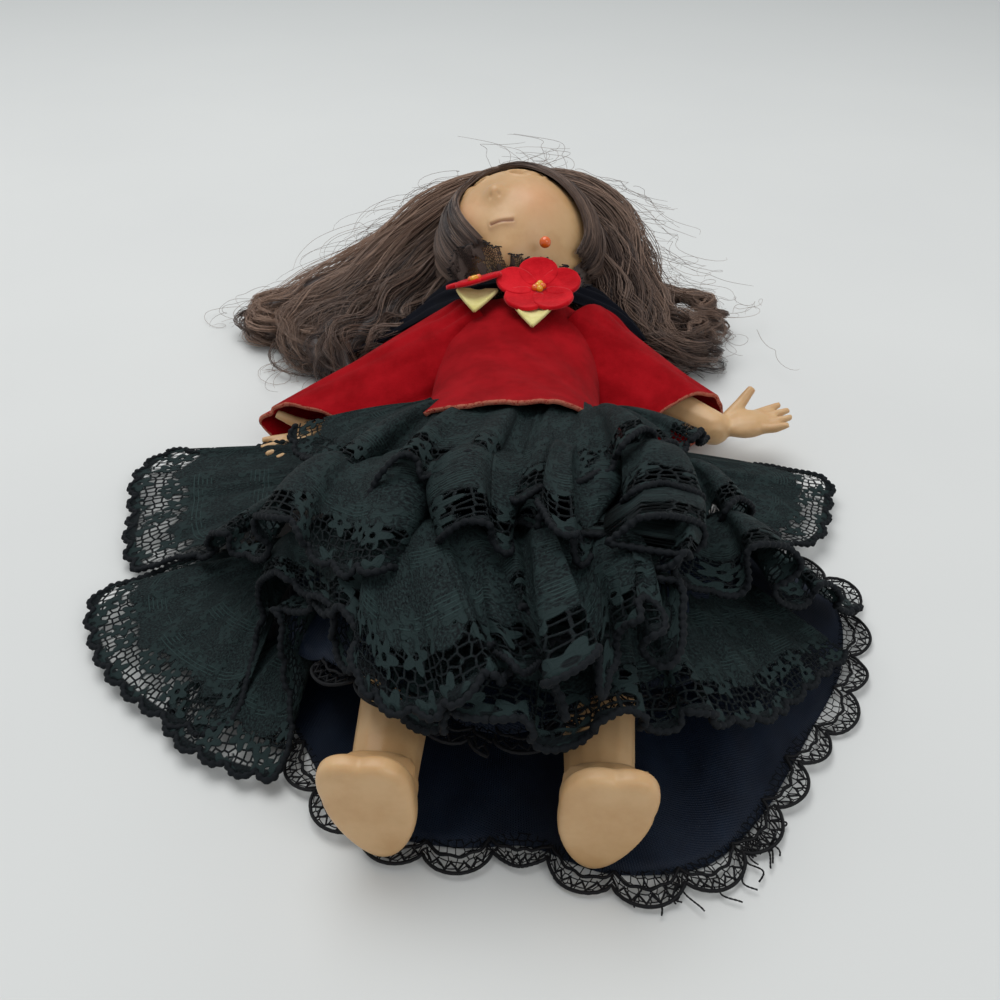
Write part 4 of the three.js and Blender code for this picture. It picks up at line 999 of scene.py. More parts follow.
# %% Head shape
HEAD_TURN = math.radians(-17)
HEAD_AT_Y, BODY_Z, HEAD_FORWARD = 75.0, 14.6, 11.2
HEAD_HALF = np.array([22.0, 23.0, 23.0])
EYE_X, EYE_Y, EYE_R = 7.6, 3.5, 4.4
EYE_Z = HEAD_HALF[2] * math.sqrt(1 - (EYE_X / HEAD_HALF[0]) ** 2 - (EYE_Y / HEAD_HALF[1]) ** 2) - EYE_R + 0.6


def from_head(points):
    """From the head's own axes, with its middle at the origin and its face along Z, to the doll's."""
    points = np.asarray(points, float)
    x, y, z = points[..., 0], points[..., 1], points[..., 2] + HEAD_FORWARD
    c, s = math.cos(HEAD_TURN), math.sin(HEAD_TURN)
    return np.stack([x * c + z * s, y + HEAD_AT_Y, z * c - x * s + BODY_Z], axis=-1)

# %% The skull and its soft bumps
def swelling(directions, towards, width):
    """1 in the middle of a soft bump that stands towards a direction, and 0 well away from it."""
    towards = np.array(towards, float)
    away = np.arccos(np.clip(directions @ (towards / np.linalg.norm(towards)), -1, 1))
    return np.exp(-((away / width) ** 2))


def skull(directions, grow=0.0, features=1.0):
    """Points on the head, in its own axes, for unit directions."""
    d = directions
    jaw = 1 - 0.13 * smooth_step(0, 1, -d[..., 1]) * smooth_step(-0.4, 0.6, d[..., 2])
    proud = (
        2.3 * swelling(d, (0, -0.32, 1), 0.13)
        + 1.1 * (swelling(d, (0.48, -0.42, 0.8), 0.32) + swelling(d, (-0.48, -0.42, 0.8), 0.32))
        + 1.5 * swelling(d, (0, -0.90, 0.44), 0.24)
        + 0.6 * swelling(d, (0.03, -0.68, 0.73), 0.13)
        + 0.9 * swelling(d, (0, 0.45, 0.9), 0.5))
    half = HEAD_HALF * np.stack([jaw, np.ones_like(jaw), np.ones_like(jaw)], axis=-1)
    return d * (half + grow + (features * proud)[..., None])


def ball_directions(columns, rows, pinch=0.0):
    """Unit directions round a ball whose poles are at the crown and the chin, closer together in front."""
    t = np.linspace(-math.pi, math.pi, columns)
    around = t - pinch * np.sin(t)
    up = np.linspace(-math.pi / 2 + 1e-3, math.pi / 2 - 1e-3, rows)
    a, b = np.meshgrid(around, up, indexing="ij")
    return np.stack([np.cos(b) * np.sin(a), np.sin(b), np.cos(b) * np.cos(a)], axis=-1)

# %% Mouth, nostrils and eye sockets
directions = ball_directions(300, 200, 0.55)
face_points = skull(directions)
face_x, face_y, face_z = (face_points[..., k] for k in range(3))
front = smooth_step(0, 8, face_z)
MOUTH_X = 0.8
lips_line = -16.0 + 0.04 * (face_x - MOUTH_X) ** 2
from_mouth = np.abs(face_x - MOUTH_X)
lip = np.exp(-((face_y - lips_line) / 0.95) ** 2) * smooth_step(4.2, 2.6, from_mouth) * front
mouth = np.exp(-((face_y - lips_line) / 0.34) ** 2) * smooth_step(3.6, 2.8, from_mouth) * front
nostrils = front * sum(
    np.exp(-(((face_x - s * 1.1) / 0.5) ** 2 + ((face_y + 9.4) / 0.4) ** 2)) for s in (1, -1))
face_points = face_points + directions * (0.55 * lip - 0.7 * mouth - 0.4 * nostrils)[..., None]
for s in (1, -1):
    away = np.sqrt(((face_x - s * EYE_X) / 4.0) ** 2 + ((face_y - EYE_Y - 0.7) / 2.75) ** 2)
    opening = smooth_step(1.06, 0.94, away) * front
    rim = np.exp(-((away - 1.22) / 0.16) ** 2) * front
    face_points = face_points - directions * (2.4 * opening - 0.35 * rim)[..., None]
blush = swelling(directions, (0.5, -0.4, 0.8), 0.3) + swelling(directions, (-0.5, -0.4, 0.8), 0.3)

# %% Head skin with its tints
def tinted_skin(name):
    """Vinyl tinted by two values stored on the mesh: the blush, and the mouth, where the lips get a tint and
    the crease between them is painted dark as shade.
    """
    material = vinyl_material(name, SKIN_LIGHT, SKIN_DEEP)
    tree = material.node_tree
    shader = tree.nodes["Principled BSDF"]
    colour = shader.inputs["Base Color"].links[0].from_socket
    # The mouth colour is lip tint on the lips and painted shade in the crease between them.
    for key, tint_and_shade, share in (("blush", srgb(214, 150, 112), 0.45), ("mouth", srgb(120, 66, 48), 0.85)):
        value = add_node(tree, "ShaderNodeAttribute", attribute_name=key)
        colour = mix(tree, calc(tree, "MULTIPLY", value.outputs["Fac"], share), colour, tint_and_shade)
    tree.links.new(colour, shader.inputs["Base Color"])
    return material

# %% Head skin on the mesh, with its neck
neck_ring = np.linspace(0, 2 * math.pi, 49)
neck_up = np.array([40.5, 43, 46, 49, 52, 55, 58])
neck_wide = np.array([6.5, 6.5, 6.5, 6.6, 7.0, 8.2, 10.0])
neck = np.stack([
    np.stack([w * np.cos(neck_ring), np.full_like(neck_ring, y), BODY_Z + w * np.sin(neck_ring)], axis=-1)
    for y, w in zip(neck_up, neck_wide)], axis=1)
columns, rows = face_x.shape
faces = grid_faces(columns, rows) + [
    tuple(k + columns * rows for k in face) for face in grid_faces(*neck.shape[:2])]
points = np.concatenate([from_head(face_points).reshape(-1, 3), neck.reshape(-1, 3)])
head_skin = mesh_piece("head_skin", points, faces, tinted_skin("head_vinyl"))
extra = np.zeros(neck.shape[0] * neck.shape[1])
# The mouth value: the crease between the lips at full strength, painted dark as shade, and about a third of
# it on the lips as their tint.
store(head_skin, "mouth", np.concatenate([np.maximum(mouth, 0.35 * lip).ravel(), extra]))
store(head_skin, "blush", np.concatenate([np.clip(blush, 0, 1).ravel(), extra]))
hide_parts("head_shell")
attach(head_skin, "head")
print("head skin", len(faces), "faces")

# %% Eyeballs
IRIS_DOWN = math.radians(55)
EYE_COLUMNS, EYE_ROWS = 97, 65
# Degrees from the middle of the iris at which each colour starts: pupil, iris, white, lashes, lid
EYE_STOPS = ((0, srgb(12, 10, 10)), (11, srgb(70, 46, 30)), (25, srgb(240, 238, 230)),
             (37, srgb(58, 38, 28)), (40.5, SKIN_DEEP))


def eyeball_material():
    """Rings of colour round the iris, read from the angle that is stored on the mesh."""
    material, tree, shader = new_material("eyeball")
    value = add_node(tree, "ShaderNodeAttribute", attribute_name="from_iris")
    ramp = add_node(tree, "ShaderNodeValToRGB", {"Fac": calc(tree, "DIVIDE", value.outputs["Fac"], 90.0)})
    ramp.color_ramp.interpolation = "CONSTANT"
    for at, colour in EYE_STOPS[1:-1]:
        ramp.color_ramp.elements.new(at / 90)
    for element, (at, colour) in zip(ramp.color_ramp.elements, EYE_STOPS):
        element.position = at / 90
        element.color = colour
    dress(tree, shader, ramp.outputs["Color"], {"Roughness": 0.3})
    return material


EYEBALL = eyeball_material()
ball = ball_directions(EYE_COLUMNS, EYE_ROWS)
iris = np.array([0, -math.sin(IRIS_DOWN), math.cos(IRIS_DOWN)])
angle = np.degrees(np.arccos(np.clip(ball @ iris, -1, 1)))
lid_side = np.array([0, math.cos(IRIS_DOWN), math.sin(IRIS_DOWN)])
angle += 8.0 * np.clip(2 * (ball @ lid_side), 0, 1)
for side, s in (("left", 1), ("right", -1)):
    middle_of_eye = np.array([s * EYE_X, EYE_Y, EYE_Z])
    eye = mesh_piece(f"eyeball_{side}", from_head(ball * EYE_R + middle_of_eye).reshape(-1, 3),
                     grid_faces(EYE_COLUMNS, EYE_ROWS), EYEBALL)
    store(eye, "from_iris", angle)
    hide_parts(f"eye_{side}")
    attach(eye, "eyes")
print("eyeballs", round(2 * EYE_R, 1), "mm across")

# %% [markdown]
# ## The felt blouse
# The blouse is thick red felt, cut and not hemmed: its lower edge is raw and shows pale fibres. Felt has no
# threads, only matted fuzz, so its material is a rough base with sheen, mottling and a fibrous bump. The
# bodice is one tube, and each sleeve is a cone that starts inside the armhole and opens like a bell.

# %% Felt
def felt_group():
    """A shader group: matted fibres as height, slow mottling, and a ragged mask near an edge."""
    group, given, out = shader_group("matted_felt", {
        "Fibres per Metre": 1500.0, "Mottle per Metre": 120.0, "Edge Width": 0.9},
        ("Height", "Mottle", "Edge"))
    place = coordinates(group)
    fibres = clouds(group, place, given["Fibres per Metre"], 5.0, Roughness=0.75, Distortion=1.5)
    mottle = clouds(group, place, given["Mottle per Metre"], 5.0, Roughness=0.65)
    up = axis_of(group, coordinates(group, "UV"), "Y")
    ragged = calc(group, "MULTIPLY_ADD", fibres, 1.4, calc(group, "ADD", up, -0.7))
    group.links.new(fibres, out["Height"])
    group.links.new(band(group, mottle, 0.3, 0.7), out["Mottle"])
    edge = calc(group, "SUBTRACT", 1.0, band(group, ragged, 0.0, given["Edge Width"]))
    group.links.new(edge, out["Edge"])
    return group


FELT_GROUP = felt_group()
print("felt:", len(FELT_GROUP.nodes), "nodes")


def felt_material(name, deep, light, sheen, pale=None, edge_width=0.6):
    """Mottled felt, with pale fibres near its raw edge where they are given."""
    material, tree, shader = new_material(name)
    felt = add_node(tree, "ShaderNodeGroup", {"Edge Width": edge_width}, node_tree=FELT_GROUP).outputs
    colour = mix(tree, felt["Mottle"], deep, light)
    if pale:
        colour = mix(tree, felt["Edge"], colour, pale)
    dress(tree, shader, colour, {
        "Roughness": 0.95, "Specular IOR Level": 0.06, "Sheen Weight": sheen, "Sheen Roughness": 0.4,
    }, (felt["Height"], 0.55, 0.00025))
    return material


RED_FELT = felt_material("red_felt", srgb(132, 15, 22), srgb(156, 22, 30), 0.02, srgb(186, 112, 92), 0.16)
FELT_THICK = 1.0

# %% Bodice
def boxy(value, power=0.9):
    """A sine or cosine that makes a slightly squared circle."""
    return np.sign(value) * np.abs(value) ** power


# Each station of the bodice: y, half width, height of the front, height of the back
BODICE = [
    (45.6, 12.5, 26.6, 3.2), (43.8, 16.0, 28.4, 2.2), (40, 17.6, 29.4, 1.6), (34, 18.6, 29.9, 1.3),
    (26, 18.7, 30.0, 1.2), (18, 18.3, 29.9, 1.2), (10, 18.0, 30.2, 1.2), (3, 18.4, 30.8, 1.2),
    (-4, 19.2, 32.0, 1.2), (-10, 20.0, 33.3, 1.2), (-15, 20.6, 34.6, 1.2), (-19, 21.0, 35.8, 1.2),
]
BODICE_ROWS, BODICE_COLUMNS = 110, 200
BACK_HEM_Y, RIGHT_WIDER = 2.8, 1.16
around = np.linspace(-math.pi, math.pi, BODICE_COLUMNS)
station = spline(BODICE, np.linspace(0, 1, BODICE_ROWS))
grid = np.zeros((BODICE_COLUMNS, BODICE_ROWS, 3))
uv = np.zeros((BODICE_COLUMNS, BODICE_ROWS, 2))
for j in range(BODICE_ROWS):
    y, half, top, low = station[j]
    across, up = boxy(np.sin(around)), boxy(np.cos(around))
    centre_z, high = (top + low) / 2, (top - low) / 2
    front = smooth_step(-0.2, 0.5, np.cos(around))
    last = smooth_step(4, -19, y)
    y_here = y - (1 - front) * (y - BACK_HEM_Y) * (y < BACK_HEM_Y)
    hem_wave = last * front * (ripple(around * 1.6, 61) + 0.25 * ripple(around * 14, 62))
    left, right = np.clip(np.sin(around), 0, 1), smooth_step(0.35, 1, -np.sin(around))
    hem_wave += last * front * (4.5 * left + 6.0 * right)
    dip = 1.1 * np.exp(-((around - 0.5) / 0.45) ** 2) * smooth_step(34, 22, y) * smooth_step(4, 14, y)
    sag = 0.35 * ripple(around * 3 + y * 0.09, 63)
    z = centre_z + up * (high + sag - dip)
    half = half * np.where(across < 0, RIGHT_WIDER, 1.0)
    grid[:, j] = np.stack([across * half, y_here + hem_wave, np.maximum(z, 1.2)], axis=1)
    uv[:, j] = np.stack([around * half, np.full(BODICE_COLUMNS, y + 19.0)], axis=1)
bodice = cloth_from_grid("felt_bodice", grid, uv, RED_FELT, FELT_THICK)
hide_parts("bodice_front", "bodice_back")
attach(bodice, "body")
print("bodice", len(bodice.data.polygons), "faces")

# %% Bell sleeves
# The outer and the inner corner of each sleeve's mouth, seen from above, as if both were left sleeves
SLEEVE_MOUTH = {"left": ((50, 25.5), (27, 5)), "right": ((63, 11.0), (33, -2.5))}
SHOULDER = np.array([13.5, 36.4])


def sleeve_grid(side, seed, columns=170, rows=80):
    """Grid of a left sleeve from the armhole to the mouth, with its UV pairs."""
    outer, inner = (np.array(p, float) for p in SLEEVE_MOUTH[side])
    mouth, wide = (outer + inner) / 2, (outer - inner) / 2
    start_wide = 12.2 * unit(np.array([0.62, 0.78]))
    around = np.linspace(-math.pi, math.pi, columns)
    grid = np.zeros((columns, rows, 3))
    uv = np.zeros((columns, rows, 2))
    length = float(np.linalg.norm(mouth - SHOULDER))
    for j in range(rows):
        t = j / (rows - 1)
        middle = SHOULDER * (1 - t) + mouth * t
        half = start_wide * (1 - t) ** 1.15 + wide * (1 - (1 - t) ** 1.15)
        height = 13.8 * (1 - t) ** 1.5 + 8.0 * (1 - (1 - t) ** 1.5)
        centre_z = 15.6 * (1 - t) + 9.2 * t
        across, up = boxy(np.cos(around)), boxy(np.sin(around))
        crease = 0.8 * t * ripple(around * 1.9, seed) + 0.35 * ripple(around * 4 + t * 3, seed + 1)
        pleat = 0.9 * math.exp(-((t - 0.12) / 0.1) ** 2) * ripple(around * 5, seed + 2)
        swell = 1 + (crease + pleat) / 12
        x = middle[0] + half[0] * across * swell
        y = middle[1] + half[1] * across * swell
        droop = -1.2 * t * smooth_step(0.2, 1.0, across) * (up > 0)
        z = centre_z + up * (height + crease + pleat) + droop
        grid[:, j] = np.stack([x, y, np.maximum(z, 0.7)], axis=1)
        uv[:, j] = np.stack([around * np.linalg.norm(half), np.full(columns, (1 - t) * length)], axis=1)
    return grid, uv

# %% Make the sleeves
for side, s, seed in (("left", 1, 71), ("right", -1, 81)):
    grid, uv = sleeve_grid(side, seed)
    if s < 0:
        grid = grid[::-1] * np.array([-1, 1, 1])
    sleeve = cloth_from_grid(f"felt_sleeve_{side}", grid, uv, RED_FELT, FELT_THICK)
    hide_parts(f"sleeve_{side}_front", f"sleeve_{side}_back")
    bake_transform(sleeve)
    round_mouth = float(np.linalg.norm(np.diff(grid[:, -1], axis=0), axis=1).sum())
    round_top = float(np.linalg.norm(np.diff(grid[:, 0], axis=0), axis=1).sum())
    length = float(np.linalg.norm(np.diff(grid, axis=1), axis=2).sum(axis=1).mean())
    print("sleeve", side, "flat", round(round_mouth), "by", round(length), "mm")

# %% [markdown]
# ## Rooted hair
# The hair parts over the forehead and lies spread on the floor to both sides, ending in curls. Each lock has
# a route drawn as a list of points, a core of its own shape, and a few hundred strands scattered through it.
# The strands are grouped in wisps that draw together towards the tip. A Geometry Nodes tree turns the lines
# into tapered fibres, and every strand carries its own shade, which the material reads.

# %% A node tree for strands
def strand_tree():
    """A line of edges becomes a fibre that thins towards its tip."""
    group, given, line = line_tree("strands", {"Radius": 0.00009, "Tip": 0.7})
    along = add_node(group, "GeometryNodeSplineParameter").outputs["Factor"]
    thin = calc(group, "MULTIPLY", calc(group, "POWER", along, 3.0), given["Tip"])
    radius = calc(group, "MULTIPLY", calc(group, "SUBTRACT", 1.0, thin), given["Radius"])
    sized = add_node(group, "GeometryNodeSetCurveRadius", {"Curve": line, "Radius": radius})
    return tube_out(group, given, 3, 1.0, Curve=sized.outputs[0], Scale=radius)


STRAND_TREE = strand_tree()
print("strand tree:", len(STRAND_TREE.nodes), "nodes")


def hair_material():
    """Brown fibre, from dark to sunlit by the shade that each strand carries."""
    material, tree, shader = new_material("rooted_hair")
    shade = add_node(tree, "ShaderNodeAttribute", attribute_name="shade").outputs["Fac"]
    dress(tree, shader, mix(tree, shade, srgb(45, 35, 34), srgb(152, 125, 108)),
          {"Roughness": 0.42, "Specular IOR Level": 0.4})
    return material


HAIR = hair_material()


def strands(name, lines, shades, radius, tip=0.7):
    """One mesh of tapered strands, with a shade for each line."""
    return line_piece(name, lines, STRAND_TREE, {"Radius": radius * MM, "Tip": tip, "Material": HAIR}, shades)


# %% Scalp and the hair combed over it
CAP = 1.3
# The hair leaves an oval open for the face, which slants across the head
OPEN_X, OPEN_Y, OPEN_WIDE, OPEN_TALL, OPEN_SLANT, SLANT_FROM = 0.4, -7.4, 14.6, 17.4, 0.26, 9
SCALP_MORE, SCALP_LOW = 2.2, -17.5
SCALP_COLUMNS, SCALP_ROWS = 200, 130
scalp_points = skull(ball_directions(SCALP_COLUMNS, SCALP_ROWS), CAP, 0.0)
scalp_x, scalp_y, scalp_z = (scalp_points[..., k] for k in range(3))
slanted = scalp_x - OPEN_SLANT * (SLANT_FROM - scalp_y) - OPEN_X
in_face = ((slanted / (OPEN_WIDE + SCALP_MORE)) ** 2
           + ((scalp_y - OPEN_Y) / (OPEN_TALL + SCALP_MORE)) ** 2 < 1.0) & (scalp_z > 1)
gone = (in_face | (scalp_y < SCALP_LOW)).ravel()
faces = [face for face in grid_faces(SCALP_COLUMNS, SCALP_ROWS) if not gone[list(face)].any()]
scalp = mesh_piece("hair_scalp", from_head(scalp_points).reshape(-1, 3), faces, HAIR)
store(scalp, "shade", 0.1 + 0.1 * np.random.default_rng(5).random(SCALP_COLUMNS * SCALP_ROWS))
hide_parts("hair_cap")
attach(scalp, "head")
print("scalp", len(faces), "faces")

# %% [markdown]
# From the parting the hair runs along the edge of the face and down the side of the head. Each strand is a
# spline over the skull, between a route beside the face and one farther back. The strands of a wisp share
# their shift and nearly their tone, which leaves the fine stripes that combed hair has.

# %% Hair combed from the parting
def combed(side, count, seed, wisps=46):
    """Strands from the parting, along the face's edge and down one side of the head, in wisps."""
    chance = np.random.default_rng(seed)
    turns = np.radians([88, 62, 30, -2, -34])
    x, y = OPEN_X + side * OPEN_WIDE * np.cos(turns), OPEN_Y + OPEN_TALL * np.sin(turns)
    x = np.clip(x + OPEN_SLANT * (SLANT_FROM - y), -20.5, 20.5)
    x, y = x / HEAD_HALF[0], y / HEAD_HALF[1]
    near = np.stack([x, y, np.sqrt(np.maximum(1 - x * x - y * y, 0.04))], axis=1)
    far = np.array([(side * 0.02, 0.57, -0.82), (side * 0.45, 0.53, -0.38), (side * 0.80, 0.11, -0.50),
                    (side * 0.90, -0.32, -0.54), (side * 0.89, -0.52, -0.44)])
    shift, tone = chance.normal(0, 0.035, (wisps, 3)), chance.uniform(0.05, 0.5, wisps)
    lines, shades = [], []
    for k in range(count):
        wisp = k % wisps
        back = float(np.clip((wisp + chance.uniform(-0.6, 1.6)) / wisps, 0, 1)) ** 1.6
        stops = near * (1 - back) + far * back
        stops[1:] += shift[wisp] * min(1, 3 * back + 0.15) + chance.normal(0, 0.012, 3)
        stops[0, 0] += chance.normal(0, 0.03)
        t = np.linspace(0, 1, 19)
        path = unit(spline(stops, t))
        lift = CAP + 0.1 + 0.8 * chance.random() + 0.35 * np.sin(9 * t + 0.9 * wisp)
        lift += 0.5 * np.exp(-((t - 0.15) / 0.2) ** 2) * (1 - back)
        lines.append(from_head(path * (HEAD_HALF + lift[:, None])))
        shades.append(np.clip(tone[wisp] + 0.12 * chance.normal(), 0, 1))
    return lines, shades


for side, s in (("left", 1), ("right", -1)):
    lines, shades = combed(s, 1300, 11 + s)
    combed_hair = strands(f"hair_combed_{side}", lines, shades, 0.14)
    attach(combed_hair, "head")
    print("combed hair", side, len(lines), "strands")

# %% Locks on the floor
# Each station of a lock: x, y, z, half width, half height. The second item of a lock is how pale the whole
# lock is painted, a painted highlight
LOCKS = {
    "right": [
        ([(-3, 92, 44, 2, 1), (-18, 97, 39, 5, 2), (-32, 98, 30, 6, 4), (-45, 95, 19, 7, 5),
          (-58, 91, 11, 7, 5), (-70, 86, 7, 6, 5), (-78, 78, 6, 5, 4), (-78, 69, 5, 4, 4),
          (-71, 66, 4, 3, 3)], 0.8),
        ([(-7, 89, 43, 2, 1), (-22, 90, 35, 5, 3), (-37, 88, 23, 7, 5), (-50, 82, 13, 8, 6),
          (-61, 74, 8, 7, 6), (-67, 64, 6, 6, 5), (-64, 55, 5, 5, 4), (-57, 51, 4, 3, 3)], 0.46),
        ([(-13, 83, 39, 2, 1), (-25, 82, 29, 5, 3), (-37, 77, 17, 7, 6), (-48, 70, 10, 8, 7),
          (-56, 60, 8, 7, 6), (-58, 50, 6, 6, 5), (-53, 43, 5, 4, 4)], 0.24),
        ([(-18, 74, 33, 2, 1), (-27, 71, 23, 4, 4), (-36, 66, 14, 6, 7), (-45, 58, 9, 7, 7),
          (-50, 48, 7, 6, 6), (-46, 40, 5, 4, 4)], 0.16),
        ([(-19, 64, 28, 2, 1), (-25, 60, 18, 4, 5), (-31, 55, 11, 5, 7), (-38, 50, 8, 5, 6),
          (-43, 44, 5, 4, 4)], 0.12),
        ([(-58, 88, 8, 2, 2), (-70, 88, 6, 3, 3), (-79, 82, 5, 3, 3), (-82, 74, 5, 3, 3), (-78, 67, 5, 3, 3),
          (-71, 67, 5, 2, 3), (-70, 73, 5, 2, 2)], 0.5),
        ([(-50, 72, 10, 2, 2), (-58, 75, 8, 3, 3), (-65, 72, 7, 3, 3), (-66, 64, 6, 3, 3), (-60, 60, 6, 3, 3),
          (-54, 64, 6, 2, 3), (-56, 69, 6, 2, 2)], 0.3),
    ],
    "left": [
        ([(0, 92, 44, 2, 1), (13, 95, 40, 5, 2), (24, 93, 31, 6, 4), (30, 87, 20, 6, 5), (33, 79, 12, 6, 5),
          (38, 73, 8, 6, 5), (45, 72, 6, 5, 5), (51, 67, 6, 4, 4), (50, 60, 5, 4, 4)], 0.3),
        ([(4, 89, 43, 2, 1), (17, 88, 37, 5, 3), (26, 84, 27, 6, 5), (30, 76, 17, 6, 6), (33, 67, 9, 6, 6),
          (39, 60, 7, 6, 6), (46, 59, 7, 5, 5), (50, 64, 6, 4, 4), (46, 69, 5, 3, 3)], 0.22),
        ([(9, 83, 40, 2, 1), (19, 80, 32, 4, 3), (26, 74, 22, 5, 6), (29, 65, 13, 6, 7), (32, 57, 8, 6, 6),
          (40, 52, 7, 5, 6), (47, 55, 6, 4, 5)], 0.14),
        ([(14, 72, 34, 2, 1), (21, 67, 23, 4, 4), (25, 60, 15, 5, 6), (29, 53, 9, 5, 6), (36, 49, 7, 5, 5),
          (43, 50, 6, 4, 4)], 0.1),
        ([(30, 82, 14, 2, 2), (38, 90, 9, 1.5, 2), (47, 93, 6, 1.5, 2), (54, 88, 5, 1.5, 2),
          (53, 80, 5, 2, 2), (45, 77, 5, 2, 2)], 0.45),
    ],
}

# %% [markdown]
# Strands alone would need to be very many before the floor no longer shows through. So each lock has a solid
# core, painted nearly black as the shade inside the lock, and the strands lie through and over it.

# %% A lock's core and its strands
FLOOR_GAP = 0.25


def lock_frame(route, places):
    """Middle, sideways and upward directions, half width and half height at places along a lock."""
    here = spline(route, places)
    along = unit(np.gradient(here[:, :3], axis=0))
    sideways = unit(np.cross(along, (0, 0, 1.0)))
    upward = unit(np.cross(sideways, along))
    return here[:, :3], sideways, upward, here[:, 3:4], here[:, 4:5]


def lock_core(route, share=0.6, around=20, steps=40):
    """Grid of a lumpy tapered core that fills a share of the lock."""
    middle, sideways, upward, wide, high = lock_frame(route, np.linspace(0, 1, steps))
    turn = np.linspace(0, 2 * math.pi, around + 1)
    taper = np.sin(math.pi * np.linspace(0.02, 1, steps) ** 1.25 * 0.99) ** 0.5
    grid = np.stack([
        middle + (sideways * wide * math.cos(a) + upward * high * math.sin(a))
        * (taper * (share + 0.08 * ripple(np.linspace(0, 6, steps) + a, 5)))[:, None] for a in turn], axis=1)
    grid[..., 2] = np.maximum(grid[..., 2], FLOOR_GAP)
    return grid


def lock_strands(route, count, lock_highlight, seed, points=24, wisps=22):
    """Strands along a lock, in wisps that draw together and curl towards the tip."""
    chance = np.random.default_rng(seed)
    centres = chance.uniform(-1, 1, (wisps, 2))
    centres /= np.maximum(1, np.linalg.norm(centres, axis=1))[:, None]
    curls = chance.uniform(0, 2 * math.pi, wisps)
    turns = chance.uniform(1.2, 2.6, wisps)
    tone = chance.normal(0, 0.18, wisps)
    lines, shades = [], []
    for k in range(count):
        wisp = k % wisps
        first, last = chance.uniform(0, 0.12), chance.uniform(0.86, 1.0)
        t = np.linspace(first, last, points)
        middle, sideways, upward, wide, high = lock_frame(route, t)
        own = chance.normal(0, 0.3, 2)
        gather = (1 - 0.75 * smooth_step(0.45, 0.95, t))[:, None]
        a = centres[wisp, 0] + own[0] * gather + 0.35 * ripple(2.6 * t + 1.7 * wisp, seed)[:, None]
        b = centres[wisp, 1] + own[1] * gather
        out = np.maximum(1, np.hypot(a, b) / 1.12)
        phase = (curls[wisp] + 2 * math.pi * turns[wisp] * t)[:, None]
        swing = 2.8 * smooth_step(0.35, 0.9, t)[:, None]
        wave = 2.2 * (smooth_step(0.08, 0.35, t) * np.sin(2 * math.pi * 3.0 * t + 0.8 * curls[wisp]))[:, None]
        line = middle + sideways * (wide * a / out + swing * np.sin(phase) + wave)
        line = line + upward * (high * b / out + swing * np.cos(phase))
        line = line + 0.25 * np.stack([ripple(t * 9 + axis * 3.1, seed + k) for axis in range(3)], axis=1)
        line[:, 2] = np.maximum(line[:, 2], FLOOR_GAP)
        lines.append(line)
        # Painted light: a lock is paler by its painted highlight, and strands higher in it are paler still,
        # as if lit from above. The wisp's tone and the strand's own are random.
        shades.append(np.clip(lock_highlight + tone[wisp] + 0.1 * chance.normal() + 0.25 * b[0, 0], 0, 1))
    return lines, shades

# %% Make the locks
HAIR_BLEND = {"left": ((20, 70), (34, 62)), "right": ((-20, 70), (-36, 64))}
STRANDS_PER_LOCK = 340


def follow_head(piece, side):
    """The piece's transform is baked into its mesh. The blend points for its side are read, but not used."""
    (x0, y0), (x1, y1) = HAIR_BLEND[side]
    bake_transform(piece)


for side, locks in LOCKS.items():
    for number, (route, lock_highlight) in enumerate(locks, 1):
        core_grid = lock_core(route)
        core = mesh_piece(f"hair_{side}_lock_{number}_core", core_grid.reshape(-1, 3),
                          grid_faces(*core_grid.shape[:2]), HAIR)
        # The core is painted nearly black: painted shade inside the lock.
        store(core, "shade", np.full(core_grid.shape[0] * core_grid.shape[1], 0.06))
        lines, shades = lock_strands(route, STRANDS_PER_LOCK, lock_highlight, 100 * number + len(side))
        fibres = strands(f"hair_{side}_lock_{number}", lines, shades, 0.12)
        if number == 1:
            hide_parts(f"hair_{side}_sweep", f"hair_{side}_curl")
        for piece in (core, fibres):
            follow_head(piece, side)
    print("hair", side, len(locks), "locks")

# %% Stray hairs
FARTHEST_Y, SOFT_LIMIT = 107, 6


def stray(start, reach, chance, points=24):
    """One loose hair that leaves the head or a lock, bows through the air and curls at its end."""
    t = np.linspace(0, 1, points)
    ahead = np.asarray(reach, float)
    aside = np.array([-ahead[1], ahead[0], 0.0]) * (-1 if ahead[0] < 0 else 1)
    path = np.asarray(start, float) + t[:, None] * ahead
    path += (chance.uniform(-0.1, 0.6) * np.sin(math.pi * t))[:, None] * aside
    curl, turns = chance.uniform(1.5, 6.0), chance.uniform(0.5, 1.2)
    spin = 2 * math.pi * (turns * t ** 2 + chance.random())
    late = smooth_step(0.05, 0.9, t)
    path[:, 0] += curl * late * np.cos(spin)
    path[:, 1] += curl * late * np.sin(spin)
    for axis in range(3):
        path[:, axis] += 0.7 * ripple(t * 4 + 5 * axis, int(chance.integers(1, 900)))
    past = np.maximum(path[:, 1] - FARTHEST_Y, 0)
    path[:, 1] += SOFT_LIMIT * np.tanh(past / SOFT_LIMIT) - past
    path[:, 2] = np.maximum(path[:, 2], FLOOR_GAP)
    return path

# %% Groups of stray hairs
# Each group of stray hairs: where they start, how far and which way they reach, and how many there are
STRAYS = {
    "right": [((-10, 98, 38), (-20, 7, -8), 26), ((-4, 99, 38), (6, 14, 5), 14),
              ((-20, 99, 34), (-24, 4, -14), 36), ((-38, 98, 24), (-26, 0, -14), 36),
              ((-62, 90, 8), (-16, 0, -5), 30), ((-72, 84, 6), (-8, -14, -3), 26),
              ((-56, 50, 5), (-8, -7, -3), 20), ((-28, 99, 30), (-8, 8, -4), 20)],
    "left": [((8, 98, 39), (16, 7, -8), 26), ((4, 98, 41), (-12, 13, 7), 12),
             ((18, 97, 34), (18, 6, -14), 34), ((27, 90, 24), (18, 10, -14), 40),
             ((33, 84, 14), (18, 6, -8), 40), ((40, 76, 8), (12, 8, -3), 36),
             ((44, 72, 7), (8, -16, -3), 28)],
}
